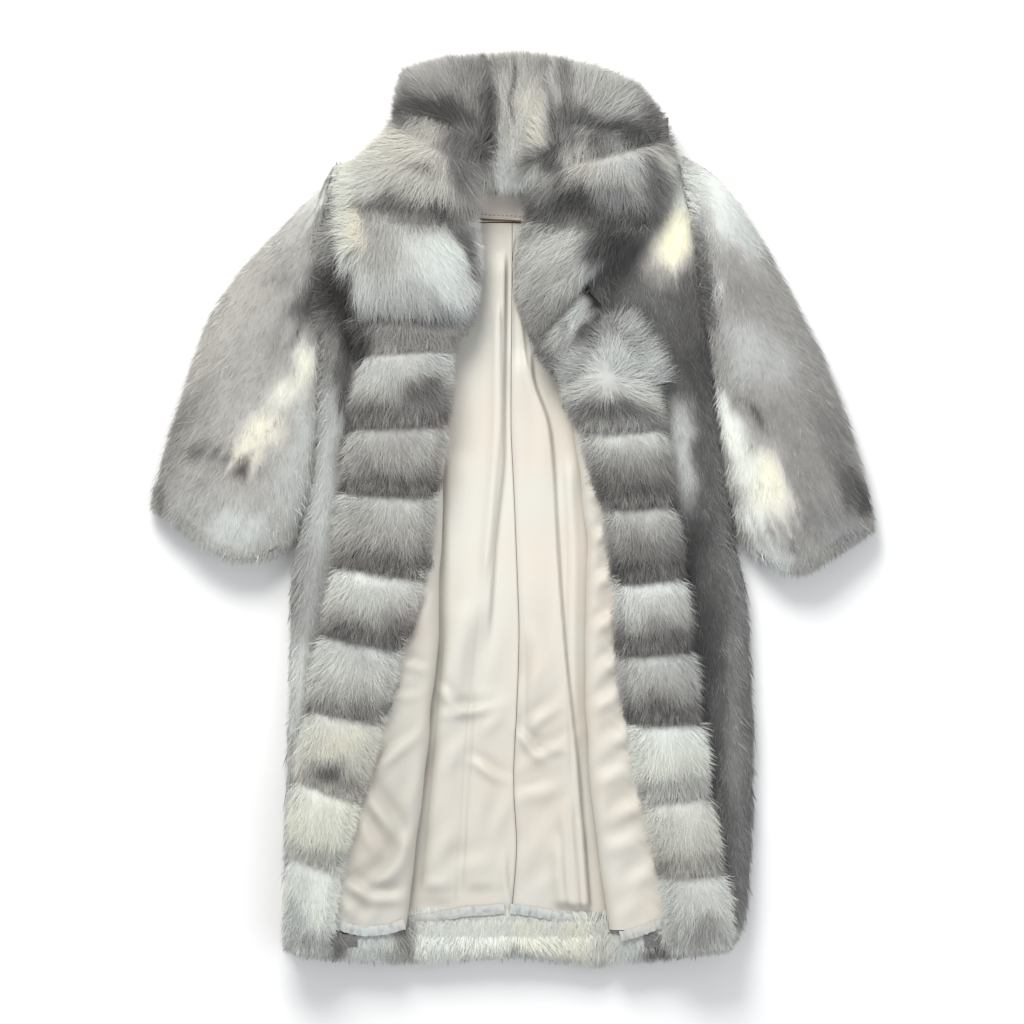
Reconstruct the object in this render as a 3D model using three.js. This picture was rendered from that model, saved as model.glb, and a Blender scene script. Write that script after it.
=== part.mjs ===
import * as THREE from 'three';

// A long fur coat lies on its back with both fronts open. Each front's edge is turned back
// along a roll line, so the satin lining and the fur facing on it look up.
// x runs across the coat, y from the hem towards the collar, z up from the surface under it.

// Driving dimensions, in millimetres
const GAP = 0.3; // between pieces that are sewn together or rest on each other
const HALF_GAP = GAP / 2;
const PANEL = 24; // one layer of fur pressed by the coat's weight, skin included
const PANEL_ROUNDING = 14; // how far a panel's fur edge tucks in at the floor
const SATIN = 1.8; // wall of the lining
const FOLDED = 58; // top of a front that is folded back on itself
const LOOSE_PILE = 53; // top of the unpressed fur beside the facing
const VALLEY = 44; // where that fur meets the facing's step
const ROLL_BOTTOM = 28.9; // underside of the fold, clear of the two linings
const ROLL_RADIUS = (FOLDED - ROLL_BOTTOM) / 2;
const WRAP = 30; // how far the front's lining runs on under the fold
const TUCK = 20; // how far the back's lining runs on under the fronts
const LINING_TOP = 403; // y of the lining's neck edge
const LINING_HEM = -567; // y of the back lining's lower edge
const FRONT_LINING_TOP = 168; // y where the front's lining comes out from under the collar
const FRONT_LINING_HEM = -588;
const FACING_LIFT = 60.9; // underside of the facing where it lies on the front's lining
const SLEEVE_TOP = 64; // crown of a sleeve
const CUFF_HOLLOW = 13; // height of the open cuff between its two layers
const TAPE_WIDTH = 14;
const TAPE_THICKNESS = 1.2;
const PIPING_DIAMETER = 2.8;

const FUR = { color: 0xa9a49f, roughness: 0.9 };
const SATIN_CLOTH = { color: 0xe6ddd0, roughness: 0.45 };
const RIBBON = { color: 0xf1f1ec, roughness: 0.35 };
const LEATHER = { color: 0x77706c, roughness: 0.7 };
const CORD = { color: 0x9b8468, roughness: 0.7 };

// One row for each section across the body, from the shoulders to the hem.
// sideLeft and sideRight are the side seams or armholes, rollLeft and rollRight the fronts'
// folds, and edge is the fur's height at the side: high at the armholes, low at free edges.
const BODY = [
  { y: 535, sideLeft: -169, rollLeft: -38, rollRight: 45, sideRight: 207, edge: 38 },
  { y: 504, sideLeft: -225, rollLeft: -35, rollRight: 42, sideRight: 231, edge: 36 },
  { y: 448, sideLeft: -262, rollLeft: -48, rollRight: 20, sideRight: 245, edge: 44 },
  { y: 403, sideLeft: -266.1, rollLeft: -49, rollRight: 15, sideRight: 253.2, edge: 46 },
  { y: 371, sideLeft: -269, rollLeft: -52, rollRight: 1, sideRight: 259, edge: 46 },
  { y: 294, sideLeft: -269, rollLeft: -55, rollRight: 3, sideRight: 269, edge: 46 },
  { y: 250, sideLeft: -269, rollLeft: -72, rollRight: 20, sideRight: 273.9, edge: 46 },
  { y: 231, sideLeft: -269, rollLeft: -82, rollRight: 34, sideRight: 276, edge: 45 },
  { y: 168, sideLeft: -272, rollLeft: -85, rollRight: 74, sideRight: 283, edge: 44 },
  { y: 112, sideLeft: -273, rollLeft: -90, rollRight: 87, sideRight: 289, edge: 42 },
  { y: 63, sideLeft: -277, rollLeft: -98, rollRight: 92, sideRight: 295, edge: 40 },
  { y: 14, sideLeft: -287, rollLeft: -99, rollRight: 97, sideRight: 304, edge: 35 },
  { y: -42, sideLeft: -304, rollLeft: -101, rollRight: 104, sideRight: 313, edge: 28 },
  { y: -98, sideLeft: -312, rollLeft: -102, rollRight: 105, sideRight: 327, edge: 26 },
  { y: -168, sideLeft: -313, rollLeft: -104, rollRight: 102, sideRight: 331, edge: 26 },
  { y: -266, sideLeft: -315, rollLeft: -113, rollRight: 102, sideRight: 336, edge: 26 },
  { y: -378, sideLeft: -317, rollLeft: -125, rollRight: 108, sideRight: 339, edge: 26 },
  { y: -476, sideLeft: -320, rollLeft: -137, rollRight: 120, sideRight: 335, edge: 26 },
  { y: -546, sideLeft: -322, rollLeft: -145, rollRight: 129, sideRight: 330, edge: 26 },
  { y: -588, sideLeft: -321, rollLeft: -150, rollRight: 134, sideRight: 324, edge: 26 },
  { y: -610, sideLeft: -314, rollLeft: -152, rollRight: 137, sideRight: 308, edge: 26 },
];

// The hem's own line, which dips and rises as the fur falls
const HEM = [
  { x: -322, y: -613 },
  { x: -298, y: -624 },
  { x: -200, y: -631 },
  { x: -158, y: -637 },
  { x: -102, y: -625 },
  { x: -46, y: -619 },
  { x: 66, y: -630 },
  { x: 122, y: -640 },
  { x: 192, y: -631 },
  { x: 248, y: -625 },
  { x: 324, y: -612 },
];

// How the loose fur beside the facing rises from the side and falls to the facing
const LOOSE_PROFILE = [
  { across: 0, rise: 0 },
  { across: 0.08, rise: 0.5 },
  { across: 0.25, rise: 0.86 },
  { across: 0.5, rise: 1 },
  { across: 0.78, rise: 0.9 },
];

// The facing and the collar's upper side are one long band of pelt sections. Each row is the
// seam where a section starts: its outer and inner ends, the section's name and its loft.
// The band runs up the left front, round the neck and down the right front. A row with no
// name is a turn inside the section before it.
const BAND = [
  { outX: -321, outY: -618, inX: -258, inY: -612, name: 'trim_left_1', loft: 33 },
  { outX: -316, outY: -476, inX: -241, inY: -501, name: 'trim_left_2', loft: 35 },
  { outX: -304, outY: -371, inX: -213, inY: -402, name: 'trim_left_3', loft: 36 },
  { outX: -287, outY: -273, inX: -182, inY: -291, name: 'trim_left_4', loft: 36 },
  { outX: -265, outY: -168, inX: -155, inY: -189, name: 'trim_left_5', loft: 38 },
  { outX: -246, outY: -73, inX: -125, inY: -91, name: 'trim_left_6', loft: 38 },
  { outX: -238, outY: 31, inX: -108, inY: 25, name: 'trim_left_7', loft: 38 },
  { outX: -228, outY: 120, inX: -92, inY: 126, name: 'trim_left_8', loft: 38 },
  { outX: -211, outY: 224, inX: -85, inY: 231, name: 'trim_left_9', loft: 28 },
  { outX: -225, outY: 277, inX: -55, inY: 269, name: 'collar_left_low', loft: 46 },
  { outX: -238, outY: 423, inX: -48, inY: 414, name: 'collar_left_mid', loft: 50 },
  { outX: -169, outY: 549, inX: -38, inY: 490, name: 'collar_left_top', loft: 42 },
  { outX: -150, outY: 613, inX: -36, inY: 474 },
  { outX: -34, outY: 635, inX: -33, inY: 459, name: 'collar_back', loft: 20 },
  { outX: 55, outY: 631, inX: 18, inY: 463, name: 'collar_right_top', loft: 40 },
  { outX: 172, outY: 594, inX: 24, inY: 472 },
  { outX: 212, outY: 525, inX: 30, inY: 482, name: 'collar_right_mid', loft: 48 },
  { outX: 199, outY: 413, inX: 20, inY: 414, name: 'collar_right_low', loft: 46 },
  { outX: 105, outY: 318, inX: 28, inY: 235, name: 'trim_right_9', loft: 30 },
  { outX: 143, outY: 269, inX: 66, inY: 182, name: 'trim_right_8', loft: 40 },
  { outX: 209, outY: 119, inX: 91, inY: 115, name: 'trim_right_7', loft: 38 },
  { outX: 223, outY: 14, inX: 125, inY: 7, name: 'trim_right_6', loft: 37 },
  { outX: 238, outY: -87, inX: 141, inY: -98, name: 'trim_right_5', loft: 37 },
  { outX: 248, outY: -189, inX: 144, inY: -199, name: 'trim_right_4', loft: 36 },
  { outX: 262, outY: -291, inX: 161, inY: -294, name: 'trim_right_3', loft: 36 },
  { outX: 273, outY: -392, inX: 182, inY: -406, name: 'trim_right_2', loft: 36 },
  { outX: 293, outY: -501, inX: 206, inY: -508, name: 'trim_right_1', loft: 34 },
  { outX: 309, outY: -613, inX: 223, inY: -614 },
];
const BULGE = 5; // how far each section swells past the band's edges between its seams
const SEAM_DEPTH = 0.4; // a section's height at its seams, as a share of its loft
const EDGE_LIP = 2; // a section's height at its outer and inner edges

// Sections across each sleeve, from its head to its cuff. The inner ends down to the
// underarm lie on the armhole, so they take their x from the body's rows.
const SLEEVE_LEFT = [
  { outX: -236, outY: 492, inY: 448, hollow: 0 },
  { outX: -284, outY: 444, inY: 371, hollow: 0 },
  { outX: -343, outY: 383, inY: 294, hollow: 0 },
  { outX: -393, outY: 329, inY: 231, hollow: 0 },
  { outX: -430, outY: 269, inY: 168, hollow: 0 },
  { outX: -453, outY: 203, inY: 112, hollow: 0.35 },
  { outX: -474, outY: 133, inY: 63, hollow: 0.7 },
  { outX: -495, outY: 67, inY: 14, hollow: 0.9 },
  { outX: -509, outY: 12, inY: -42, hollow: 1, bow: 46, clear: 3 },
];
const SLEEVE_RIGHT = [
  { outX: 235, outY: 502, inY: 448, hollow: 0 },
  { outX: 293, outY: 473, inY: 371, hollow: 0 },
  { outX: 342, outY: 399, inY: 294, hollow: 0 },
  { outX: 378, outY: 329, inY: 231, hollow: 0 },
  { outX: 413, outY: 266, inY: 168, hollow: 0 },
  { outX: 447, outY: 193, inY: 112, hollow: 0.35 },
  { outX: 472, outY: 123, inY: 63, hollow: 0.7 },
  { outX: 494, outY: 49, inY: 14, hollow: 0.9 },
  { outX: 509, outY: -19, inY: -42, hollow: 1, bow: 54, clear: 5 },
];
const CUFF_LIP = 8; // how far the cuff's fur curls past its last section

// Long folds of the back's lining: each is a soft ridge that ends in a sharp drop
const FOLD_PATHS = {
  seam: [
    { y: 403, x: -1 },
    { y: 112, x: -3 },
    { y: 14, x: 2 },
    { y: -168, x: 9 },
    { y: -266, x: 6 },
    { y: -378, x: 0 },
    { y: -476, x: 6 },
    { y: -567, x: -2 },
  ],
  left: [
    { y: 403, x: -14 },
    { y: 231, x: -14 },
    { y: 63, x: -16 },
    { y: -42, x: -28 },
    { y: -168, x: -36 },
    { y: -378, x: -62 },
    { y: -567, x: -74 },
  ],
  right: [
    { y: 403, x: 8 },
    { y: 231, x: 22 },
    { y: 112, x: 50 },
    { y: 14, x: 59 },
    { y: -168, x: 70 },
    { y: -378, x: 91 },
    { y: -476, x: 96 },
    { y: -567, x: 108 },
  ],
};
const FOLD_HEIGHT = { left: 7, right: 8 };

// The value of one column at a given y, on straight lines between the rows
function valueAt(rows, key, y, along = 'y') {
  const sorted = [...rows].sort((a, b) => a[along] - b[along]);
  if (y <= sorted[0][along]) return sorted[0][key];
  const upper = sorted.findIndex((row) => row[along] >= y);
  if (upper < 0) return sorted[sorted.length - 1][key];
  const low = sorted[upper - 1];
  const high = sorted[upper];
  const share = (y - low[along]) / (high[along] - low[along]);
  return THREE.MathUtils.lerp(low[key], high[key], share);
}

// A closed solid through rings of equal point count, with flat ends
function loft(rings) {
  const size = rings[0].length;
  const faces = [];
  for (let ring = 0; ring + 1 < rings.length; ring += 1) {
    for (let point = 0; point < size; point += 1) {
      const a = ring * size + point;
      const b = ring * size + ((point + 1) % size);
      faces.push(a, b, a + size, b, b + size, a + size);
    }
  }
  const lastRing = (rings.length - 1) * size;
  for (const [start, reversed] of [[0, true], [lastRing, false]]) {
    for (const [a, b, c] of capFaces(rings[start / size])) {
      faces.push(start + a, start + (reversed ? c : b), start + (reversed ? b : c));
    }
  }
  const geometry = new THREE.BufferGeometry();
  const positions = rings.flat().flatMap((point) => [point.x, point.y, point.z]);
  geometry.setAttribute('position', new THREE.Float32BufferAttribute(positions, 3));
  geometry.setIndex(signedVolume(positions, faces) < 0 ? faces.reverse() : faces);
  geometry.computeVertexNormals();
  return geometry;
}

// Triangles over one ring, worked out in the upright plane of its widest reach, and turned
// so that they run the same way as the ring
function capFaces(ring) {
  const across = new THREE.Vector2();
  for (const point of ring) {
    const reach = new THREE.Vector2(point.x - ring[0].x, point.y - ring[0].y);
    if (reach.length() > across.length()) across.copy(reach);
  }
  across.normalize();
  const outline = ring.map((p) => new THREE.Vector2(p.x * across.x + p.y * across.y, p.z));
  const triangles = THREE.ShapeUtils.triangulateShape(outline, []);
  const sameWay = THREE.ShapeUtils.area(outline) > 0;
  return triangles.map(([a, b, c]) => {
    const turn = THREE.ShapeUtils.area([outline[a], outline[b], outline[c]]) > 0;
    return turn === sameWay ? [a, b, c] : [a, c, b];
  });
}

function signedVolume(positions, faces) {
  const corner = (index) => new THREE.Vector3().fromArray(positions, index * 3);
  let volume = 0;
  for (let face = 0; face < faces.length; face += 3) {
    const [a, b, c] = [faces[face], faces[face + 1], faces[face + 2]].map(corner);
    volume += a.dot(b.cross(c)) / 6;
  }
  return volume;
}

const coat = new THREE.Group();

function addPiece(name, geometry, finish) {
  const material = new THREE.MeshStandardMaterial({ ...finish, metalness: 0 });
  const piece = new THREE.Mesh(geometry, material);
  piece.name = name;
  coat.add(piece);
}

// The quarter-round of a pressed fur edge, from the floor up to the panel's full width
function roundedEdge(height, rounding) {
  const steps = 4;
  return Array.from({ length: steps }, (_, step) => {
    const angle = (Math.PI / 2) * (1 - step / (steps - 1));
    return { inset: rounding * (1 - Math.cos(angle)), z: height * (1 - Math.sin(angle)) };
  });
}

// A flat panel of fur lying on the floor, its underside flat and its edges rounded
function flooredSection(y, left, right, height, rounding, hemShare = 0) {
  const edge = roundedEdge(height, rounding);
  const place = (x, z) => new THREE.Vector3(x, y + hemShare * (valueAt(HEM, 'y', x, 'x') - y), z);
  const inner = [0.75, 0.5, 0.25].map((share) => THREE.MathUtils.lerp(left, right, share));
  return [
    ...edge.map(({ inset, z }) => place(left + inset, z)),
    ...edge.reverse().map(({ inset, z }) => place(right - inset, z)),
    ...inner.map((x) => place(x, 0)),
  ];
}

// Back: one broad panel, fur side down, from the shoulders to the hem
function backPanel() {
  const rings = BODY.map((row) => (
    flooredSection(row.y, row.sideLeft + HALF_GAP, row.sideRight - HALF_GAP, PANEL, PANEL_ROUNDING)
  ));
  const last = BODY[BODY.length - 1];
  rings.push(flooredSection(last.y, last.sideLeft + 4, last.sideRight - 4, PANEL, PANEL_ROUNDING, 0.75));
  rings.push(flooredSection(last.y, last.sideLeft + 14, last.sideRight - 14, PANEL, PANEL_ROUNDING, 1));
  return loft(rings);
}
addPiece('back', backPanel(), FUR);

// The facing's outer or inner edge at a given y, on one side of the coat
const MIDDLE_OF_BAND = BAND.findIndex((row) => row.name === 'collar_back');
const bandSide = (side) => (
  side < 0 ? BAND.slice(0, MIDDLE_OF_BAND) : BAND.slice(MIDDLE_OF_BAND + 1)
);
const facingOuter = (side, y) => valueAt(bandSide(side), 'outX', y, 'outY');
const facingInner = (side, y) => valueAt(bandSide(side), 'inX', y, 'inY');

// Half-round of the fold, from its top round to its underside, as offsets from the fold line
function rollArc(radius) {
  return [90, 60, 30, 0, -30, -60, -90].map((degrees) => {
    const angle = THREE.MathUtils.degToRad(degrees);
    return {
      inset: ROLL_RADIUS - radius * Math.cos(angle),
      z: FOLDED - ROLL_RADIUS + radius * Math.sin(angle),
    };
  });
}

// A front: loose fur at the side, a step up to the turned-back edge, and the round fold.
// Its hidden layers are one solid. flatten and hemShare round it off at the hem.
function frontSection(row, side, flatten = 1, hemShare = 0) {
  const seam = (side < 0 ? row.sideLeft : row.sideRight) - side * HALF_GAP;
  const roll = side < 0 ? row.rollLeft : row.rollRight;
  const width = Math.abs(seam - roll);
  const stepAt = Math.min(Math.abs(facingOuter(side, row.y) - roll), width - 8);
  const loose = width - stepAt;
  const bottom = PANEL + GAP;
  const profile = LOOSE_PROFILE.map(({ across, rise }) => (
    { inset: width - across * loose, z: row.edge + rise * (LOOSE_PILE - row.edge) }
  ));
  profile.push({ inset: stepAt + 1, z: VALLEY });
  profile.push({ inset: stepAt - 5, z: FOLDED - 2 });
  profile.push({ inset: stepAt - 16, z: FOLDED });
  profile.push({ inset: (stepAt - 16 + ROLL_RADIUS) / 2, z: FOLDED });
  profile.push(...rollArc(ROLL_RADIUS));
  profile.push({ inset: ROLL_RADIUS + WRAP, z: ROLL_BOTTOM });
  profile.push({ inset: ROLL_RADIUS + WRAP + 10, z: bottom });
  profile.push({ inset: width, z: bottom });
  return profile.map(({ inset, z }) => {
    const x = roll + side * inset;
    const y = row.y + hemShare * (valueAt(HEM, 'y', x, 'x') + 3 - row.y);
    return new THREE.Vector3(x, y, bottom + (z - bottom) * flatten);
  });
}

function frontPanel(side) {
  const rings = BODY.map((row) => frontSection(row, side));
  const last = BODY[BODY.length - 1];
  rings.push(frontSection(last, side, 0.8, 0.6));
  rings.push(frontSection(last, side, 0.45, 1));
  return loft(rings);
}
addPiece('front_left', frontPanel(-1), FUR);
addPiece('front_right', frontPanel(1), FUR);

// Lining of a front: a sheet from under the facing, over the fold and a little way below it
function frontLiningSection(row, side) {
  const roll = side < 0 ? row.rollLeft : row.rollRight;
  const facing = Math.abs(facingInner(side, row.y) - roll) + 10;
  const start = Math.max(facing, ROLL_RADIUS + 4);
  const wall = [0.5, 0.5 + SATIN].map((offset) => {
    const middle = (start + ROLL_RADIUS) / 2;
    return [
      { inset: start, z: FOLDED + offset },
      { inset: middle, z: FOLDED + offset },
      ...rollArc(ROLL_RADIUS + offset),
      { inset: ROLL_RADIUS + WRAP - 2, z: ROLL_BOTTOM - offset },
    ];
  });
  return [...wall[0], ...wall[1].reverse()].map(({ inset, z }) => (
    new THREE.Vector3(roll + side * inset, row.y, z)
  ));
}

function frontLining(side) {
  const rows = BODY.filter((row) => row.y <= FRONT_LINING_TOP && row.y >= FRONT_LINING_HEM);
  return loft(rows.map((row) => frontLiningSection(row, side)));
}
addPiece('front_lining_left', frontLining(-1), SATIN_CLOTH);
addPiece('front_lining_right', frontLining(1), SATIN_CLOTH);

// Lining of the back, in two halves that meet at the centre pleat. Each has one long fold,
// a ridge that grows over FOLD_REACH and drops sharply on the far side.
const FOLD_REACH = 26;
const FOLD_DROP = 4;
const FOLD_END = -546; // y where the tape at the hem presses the folds flat
function backLiningSection(y, side) {
  const edge = (side < 0 ? valueAt(BODY, 'rollLeft', y) : valueAt(BODY, 'rollRight', y)) + side * TUCK;
  const seam = valueAt(FOLD_PATHS.seam, 'x', y) + side * HALF_GAP;
  const key = side < 0 ? 'left' : 'right';
  const spanned = Math.abs(edge - seam);
  const fold = Math.abs(valueAt(FOLD_PATHS[key], 'x', y) - seam);
  const free = Math.min(spanned - TUCK - fold, y - FOLD_END, LINING_TOP - y);
  const room = free / FOLD_REACH;
  const height = FOLD_HEIGHT[key] * THREE.MathUtils.clamp(room, 0, 1);
  const stations = [
    { inset: 0, rise: 0 },
    { inset: fold / 2, rise: 0.12 },
    { inset: fold - FOLD_DROP / 2, rise: 0.25 },
    { inset: fold + FOLD_DROP / 2, rise: 1 },
    { inset: fold + FOLD_REACH * 0.4, rise: 0.8 },
    { inset: fold + FOLD_REACH, rise: 0.1 },
    { inset: spanned - TUCK, rise: 0 },
    { inset: spanned, rise: 0 },
  ];
  for (let i = 1; i < stations.length - 1; i += 1) {
    const limit = spanned - (stations.length - 1 - i) * 3;
    stations[i].inset = Math.min(Math.max(stations[i].inset, stations[i - 1].inset + 2), limit);
  }
  const base = PANEL + GAP;
  const bottom = stations.map(({ inset, rise }) => (
    new THREE.Vector3(seam + side * inset, y, base + height * rise)
  ));
  const top = bottom.map((point) => point.clone().setZ(point.z + SATIN)).reverse();
  return [...bottom, ...top];
}

function backLining(side) {
  const inside = BODY.map((row) => row.y).filter((y) => y < LINING_TOP && y > LINING_HEM);
  return loft([LINING_TOP, ...inside, LINING_HEM].map((y) => backLiningSection(y, side)));
}
addPiece('back_lining_left', backLining(-1), SATIN_CLOTH);
addPiece('back_lining_right', backLining(1), SATIN_CLOTH);

// Facing and upper collar: puffed sections of pelt between neighbouring seams of the band
const outerEdge = new THREE.CatmullRomCurve3(BAND.map((row) => new THREE.Vector3(row.outX, row.outY)));
const innerEdge = new THREE.CatmullRomCurve3(BAND.map((row) => new THREE.Vector3(row.inX, row.inY)));
const ACROSS = [0, 0.03, 0.12, 0.28, 0.5, 0.72, 0.88, 0.97, 1];
const ALONG = [0.006, 0.07, 0.24, 0.5, 0.76, 0.93, 0.994];
const dome = (share, power) => Math.sqrt(1 - Math.abs(2 * share - 1) ** power);

function pelt(start, end, { loft: rise, name }) {
  const last = BAND.length - 1;
  const lifted = name.startsWith('trim') ? FACING_LIFT : FOLDED + GAP;
  const rings = ALONG.map((share) => {
    const place = THREE.MathUtils.lerp(start, end, share) / last;
    const outer = outerEdge.getPoint(place);
    const inner = innerEdge.getPoint(place);
    const swell = inner.clone().sub(outer).setLength(BULGE * Math.sin(Math.PI * share));
    outer.sub(swell);
    inner.add(swell);
    const height = rise * (SEAM_DEPTH + (1 - SEAM_DEPTH) * dome(share, 2.6));
    const top = ACROSS.map((across) => {
      const base = across > 0.73 ? lifted : FOLDED + GAP;
      const lift = EDGE_LIP + (height - EDGE_LIP) * dome(across, 2.4);
      return outer.clone().lerp(inner, across).setZ(base + lift);
    });
    const bottom = [[1, lifted], [0.76, lifted], [0.7, FOLDED + GAP], [0, FOLDED + GAP]]
      .map(([across, z]) => outer.clone().lerp(inner, across).setZ(z));
    return [...top, ...bottom];
  });
  return loft(rings);
}

const named = BAND.map((row, index) => ({ row, index })).filter(({ row }) => row.name);
named.forEach(({ row, index }, place) => {
  const next = place + 1 < named.length ? named[place + 1].index : BAND.length - 1;
  addPiece(row.name, pelt(index, next, row), FUR);
});

// Under collar: fur side down, as thick as the folded fronts that carry the rest of the collar
const UNDER_COLLAR = [
  { y: 535.6, left: -169, right: 206 },
  { y: 560, left: -166, right: 200 },
  { y: 585, left: -163, right: 184 },
  { y: 605, left: -155, right: 152 },
  { y: 620, left: -138, right: 110 },
  { y: 631, left: -100, right: 74 },
  { y: 636, left: -45, right: 45 },
];
const COLLAR_ROUNDING = 20;
addPiece('collar_under', loft(UNDER_COLLAR.map(({ y, left, right }) => (
  flooredSection(y, left, right, FOLDED, COLLAR_ROUNDING)
))), FUR);

// Collar stand: the band that joins the collar to the back of the neck, between the fronts
function collarStand() {
  const rings = [462, 470, 504, 535].map((y, place) => {
    const left = valueAt(BODY, 'rollLeft', y) + 0.6;
    const right = valueAt(BODY, 'rollRight', y) - 0.6;
    const bottom = PANEL + GAP;
    const top = place === 0 ? FOLDED - 12 : FOLDED;
    return [[left, bottom], [right, bottom], [right, top], [left, top]]
      .map(([x, z]) => new THREE.Vector3(x, y, z));
  });
  return loft(rings);
}
addPiece('collar_stand', collarStand(), FUR);

// Sleeves: two layers lying on each other, with the cuff left a little open between them
function sleeveRungs(rows, side) {
  const key = side < 0 ? 'sideLeft' : 'sideRight';
  const rungs = rows.map(({ outX, outY, inY, hollow, bow = 0, clear = HALF_GAP }) => ({
    outer: new THREE.Vector3(outX, outY),
    inner: new THREE.Vector3(valueAt(BODY, key, inY) + side * clear, inY),
    edge: valueAt(BODY, 'edge', inY),
    hollow: hollow * CUFF_HOLLOW,
    bow,
  }));
  const [before, cuff] = rungs.slice(-2);
  const middle = (rung) => rung.outer.clone().lerp(rung.inner, 0.5);
  cuff.fall = middle(cuff).sub(middle(before)).normalize();
  return rungs;
}

// A point on a rung, carried down the sleeve by the cuff's bow
function onRung(rung, across, extra = 0) {
  const point = rung.outer.clone().lerp(rung.inner, across);
  const drop = rung.bow * Math.sin(Math.PI * across ** 1.6) + extra;
  return rung.fall ? point.addScaledVector(rung.fall, drop) : point;
}

function underSleeve(rungs) {
  const edge = roundedEdge(PANEL, PANEL_ROUNDING);
  const section = (rung, extra) => {
    const width = rung.outer.distanceTo(rung.inner);
    const rounding = Math.min(1, width / 60);
    const shares = [
      ...edge.map(({ inset, z }) => [(inset * rounding) / width, z]),
      [0.5, PANEL],
      ...[...edge].reverse().map(({ inset, z }) => [1 - (inset * rounding) / width, z]),
      [0.66, 0],
      [0.33, 0],
    ];
    return shares.map(([across, z]) => onRung(rung, across, extra).setZ(z));
  };
  const cuff = rungs[rungs.length - 1];
  return loft([...rungs.map((rung) => section(rung, 0)), section(cuff, CUFF_LIP)]);
}

const CROWN = [0, 0.03, 0.1, 0.24, 0.42, 0.6, 0.78, 0.91, 0.97, 1];
const ARCH = [1, 0.85, 0.6, 0.4, 0.15, 0];
function overSleeve(rungs) {
  const section = (rung, extra, thin) => {
    const rise = (across) => {
      const edge = THREE.MathUtils.lerp(PANEL + 3, rung.edge, across ** 3);
      return edge + (SLEEVE_TOP - edge) * dome(across, 2.3);
    };
    const arch = (across) => PANEL + GAP + rung.hollow * (1 - (2 * across - 1) ** 4);
    const top = CROWN.map((across) => {
      const middle = (rise(across) + arch(across)) / 2;
      return onRung(rung, across, extra).setZ(THREE.MathUtils.lerp(rise(across), middle, thin));
    });
    const bottom = ARCH.map((across) => {
      const middle = (rise(across) + arch(across)) / 2;
      return onRung(rung, across, extra).setZ(THREE.MathUtils.lerp(arch(across), middle, thin / 4));
    });
    return [...top, ...bottom];
  };
  const cuff = rungs[rungs.length - 1];
  return loft([...rungs.map((rung) => section(rung, 0, 0)), section(cuff, CUFF_LIP, 0.6)]);
}

for (const [name, rows, side] of [['left', SLEEVE_LEFT, -1], ['right', SLEEVE_RIGHT, 1]]) {
  const rungs = sleeveRungs(rows, side);
  addPiece(`sleeve_${name}_under`, underSleeve(rungs), FUR);
  addPiece(`sleeve_${name}_over`, overSleeve(rungs), FUR);
}

// Back hem: the pelts turned up over the edge, fur showing below the lining's tape
const HEM_FUR_TOP = 44;
function hemFur() {
  const rings = [-148, -128, -95, -50, 0, 50, 90, 116, 132].map((x, place, all) => {
    const outline = valueAt(HEM, 'y', x, 'x') - 1;
    const ends = place === 0 || place === all.length - 1;
    const top = ends ? HEM_FUR_TOP - 12 : HEM_FUR_TOP;
    const base = PANEL + GAP;
    const start = -584;
    const profile = [
      { y: start, z: base },
      { y: start - 2, z: base + (top - base) * 0.55 },
      { y: start - 12, z: top - 2 },
      { y: start - 24, z: top },
      { y: outline + 12, z: top - 5 },
      { y: outline + 2, z: base + (top - base) * 0.4 },
      { y: outline, z: base },
    ];
    return profile.map(({ y, z }) => new THREE.Vector3(x, y, z));
  });
  return loft(rings);
}
addPiece('hem_fur_back', hemFur(), FUR);

// A narrow ribbon on the lining's hem, along a path of points, gently puckered
function ribbon(path, base) {
  const curve = new THREE.CatmullRomCurve3(path.map(([x, y]) => new THREE.Vector3(x, y)));
  const steps = 10;
  const rings = Array.from({ length: steps + 1 }, (_, step) => {
    const middle = curve.getPoint(step / steps);
    const tangent = curve.getTangent(step / steps);
    const across = new THREE.Vector3(-tangent.y, tangent.x, 0).multiplyScalar(TAPE_WIDTH / 2);
    const low = base + GAP + (step % 2) * 0.5;
    const near = middle.clone().sub(across);
    const far = middle.clone().add(across);
    return [
      near.clone().setZ(low),
      far.clone().setZ(low),
      far.clone().setZ(low + TAPE_THICKNESS),
      near.clone().setZ(low + TAPE_THICKNESS),
    ];
  });
  return loft(rings);
}

const ON_BACK_LINING = PANEL + GAP + SATIN;
const ON_FRONT_LINING = FOLDED + 0.5 + SATIN;
const TAPES = [
  { name: 'front_left', base: ON_FRONT_LINING, path: [[-240, -583], [-215, -590], [-190, -590], [-166, -584]] },
  { name: 'back_left', base: ON_BACK_LINING, path: [[-141, -574], [-100, -570], [-60, -563], [-12, -560]] },
  { name: 'back_right', base: ON_BACK_LINING, path: [[-4, -560], [30, -564], [60, -571], [79, -573]] },
  { name: 'front_right', base: ON_FRONT_LINING, path: [[158, -594], [180, -589], [204, -580]] },
];
for (const { name, base, path } of TAPES) {
  addPiece(`hem_tape_${name}`, ribbon(path, base), RIBBON);
}

// A thin four-cornered patch lying level
function patch(left, right, low, high, base, thickness) {
  const ring = (x) => [[low, base], [high, base], [high, base + thickness], [low, base + thickness]]
    .map(([y, z]) => new THREE.Vector3(x, y, z));
  return loft([left, right].map(ring));
}
const PATCH_THICKNESS = 1.5;
addPiece('hem_patch_left', patch(-252, -222, -609, -600, FOLDED + GAP, PATCH_THICKNESS), LEATHER);
addPiece('hem_patch_right', patch(188, 218, -609, -600, FOLDED + GAP, PATCH_THICKNESS), LEATHER);

// Neck facing: a satin patch inside the back of the neck, with a cord piped along its edge
addPiece('neck_facing', patch(-60, 22, LINING_TOP + GAP, 461, PANEL + GAP, SATIN), SATIN_CLOTH);

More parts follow.
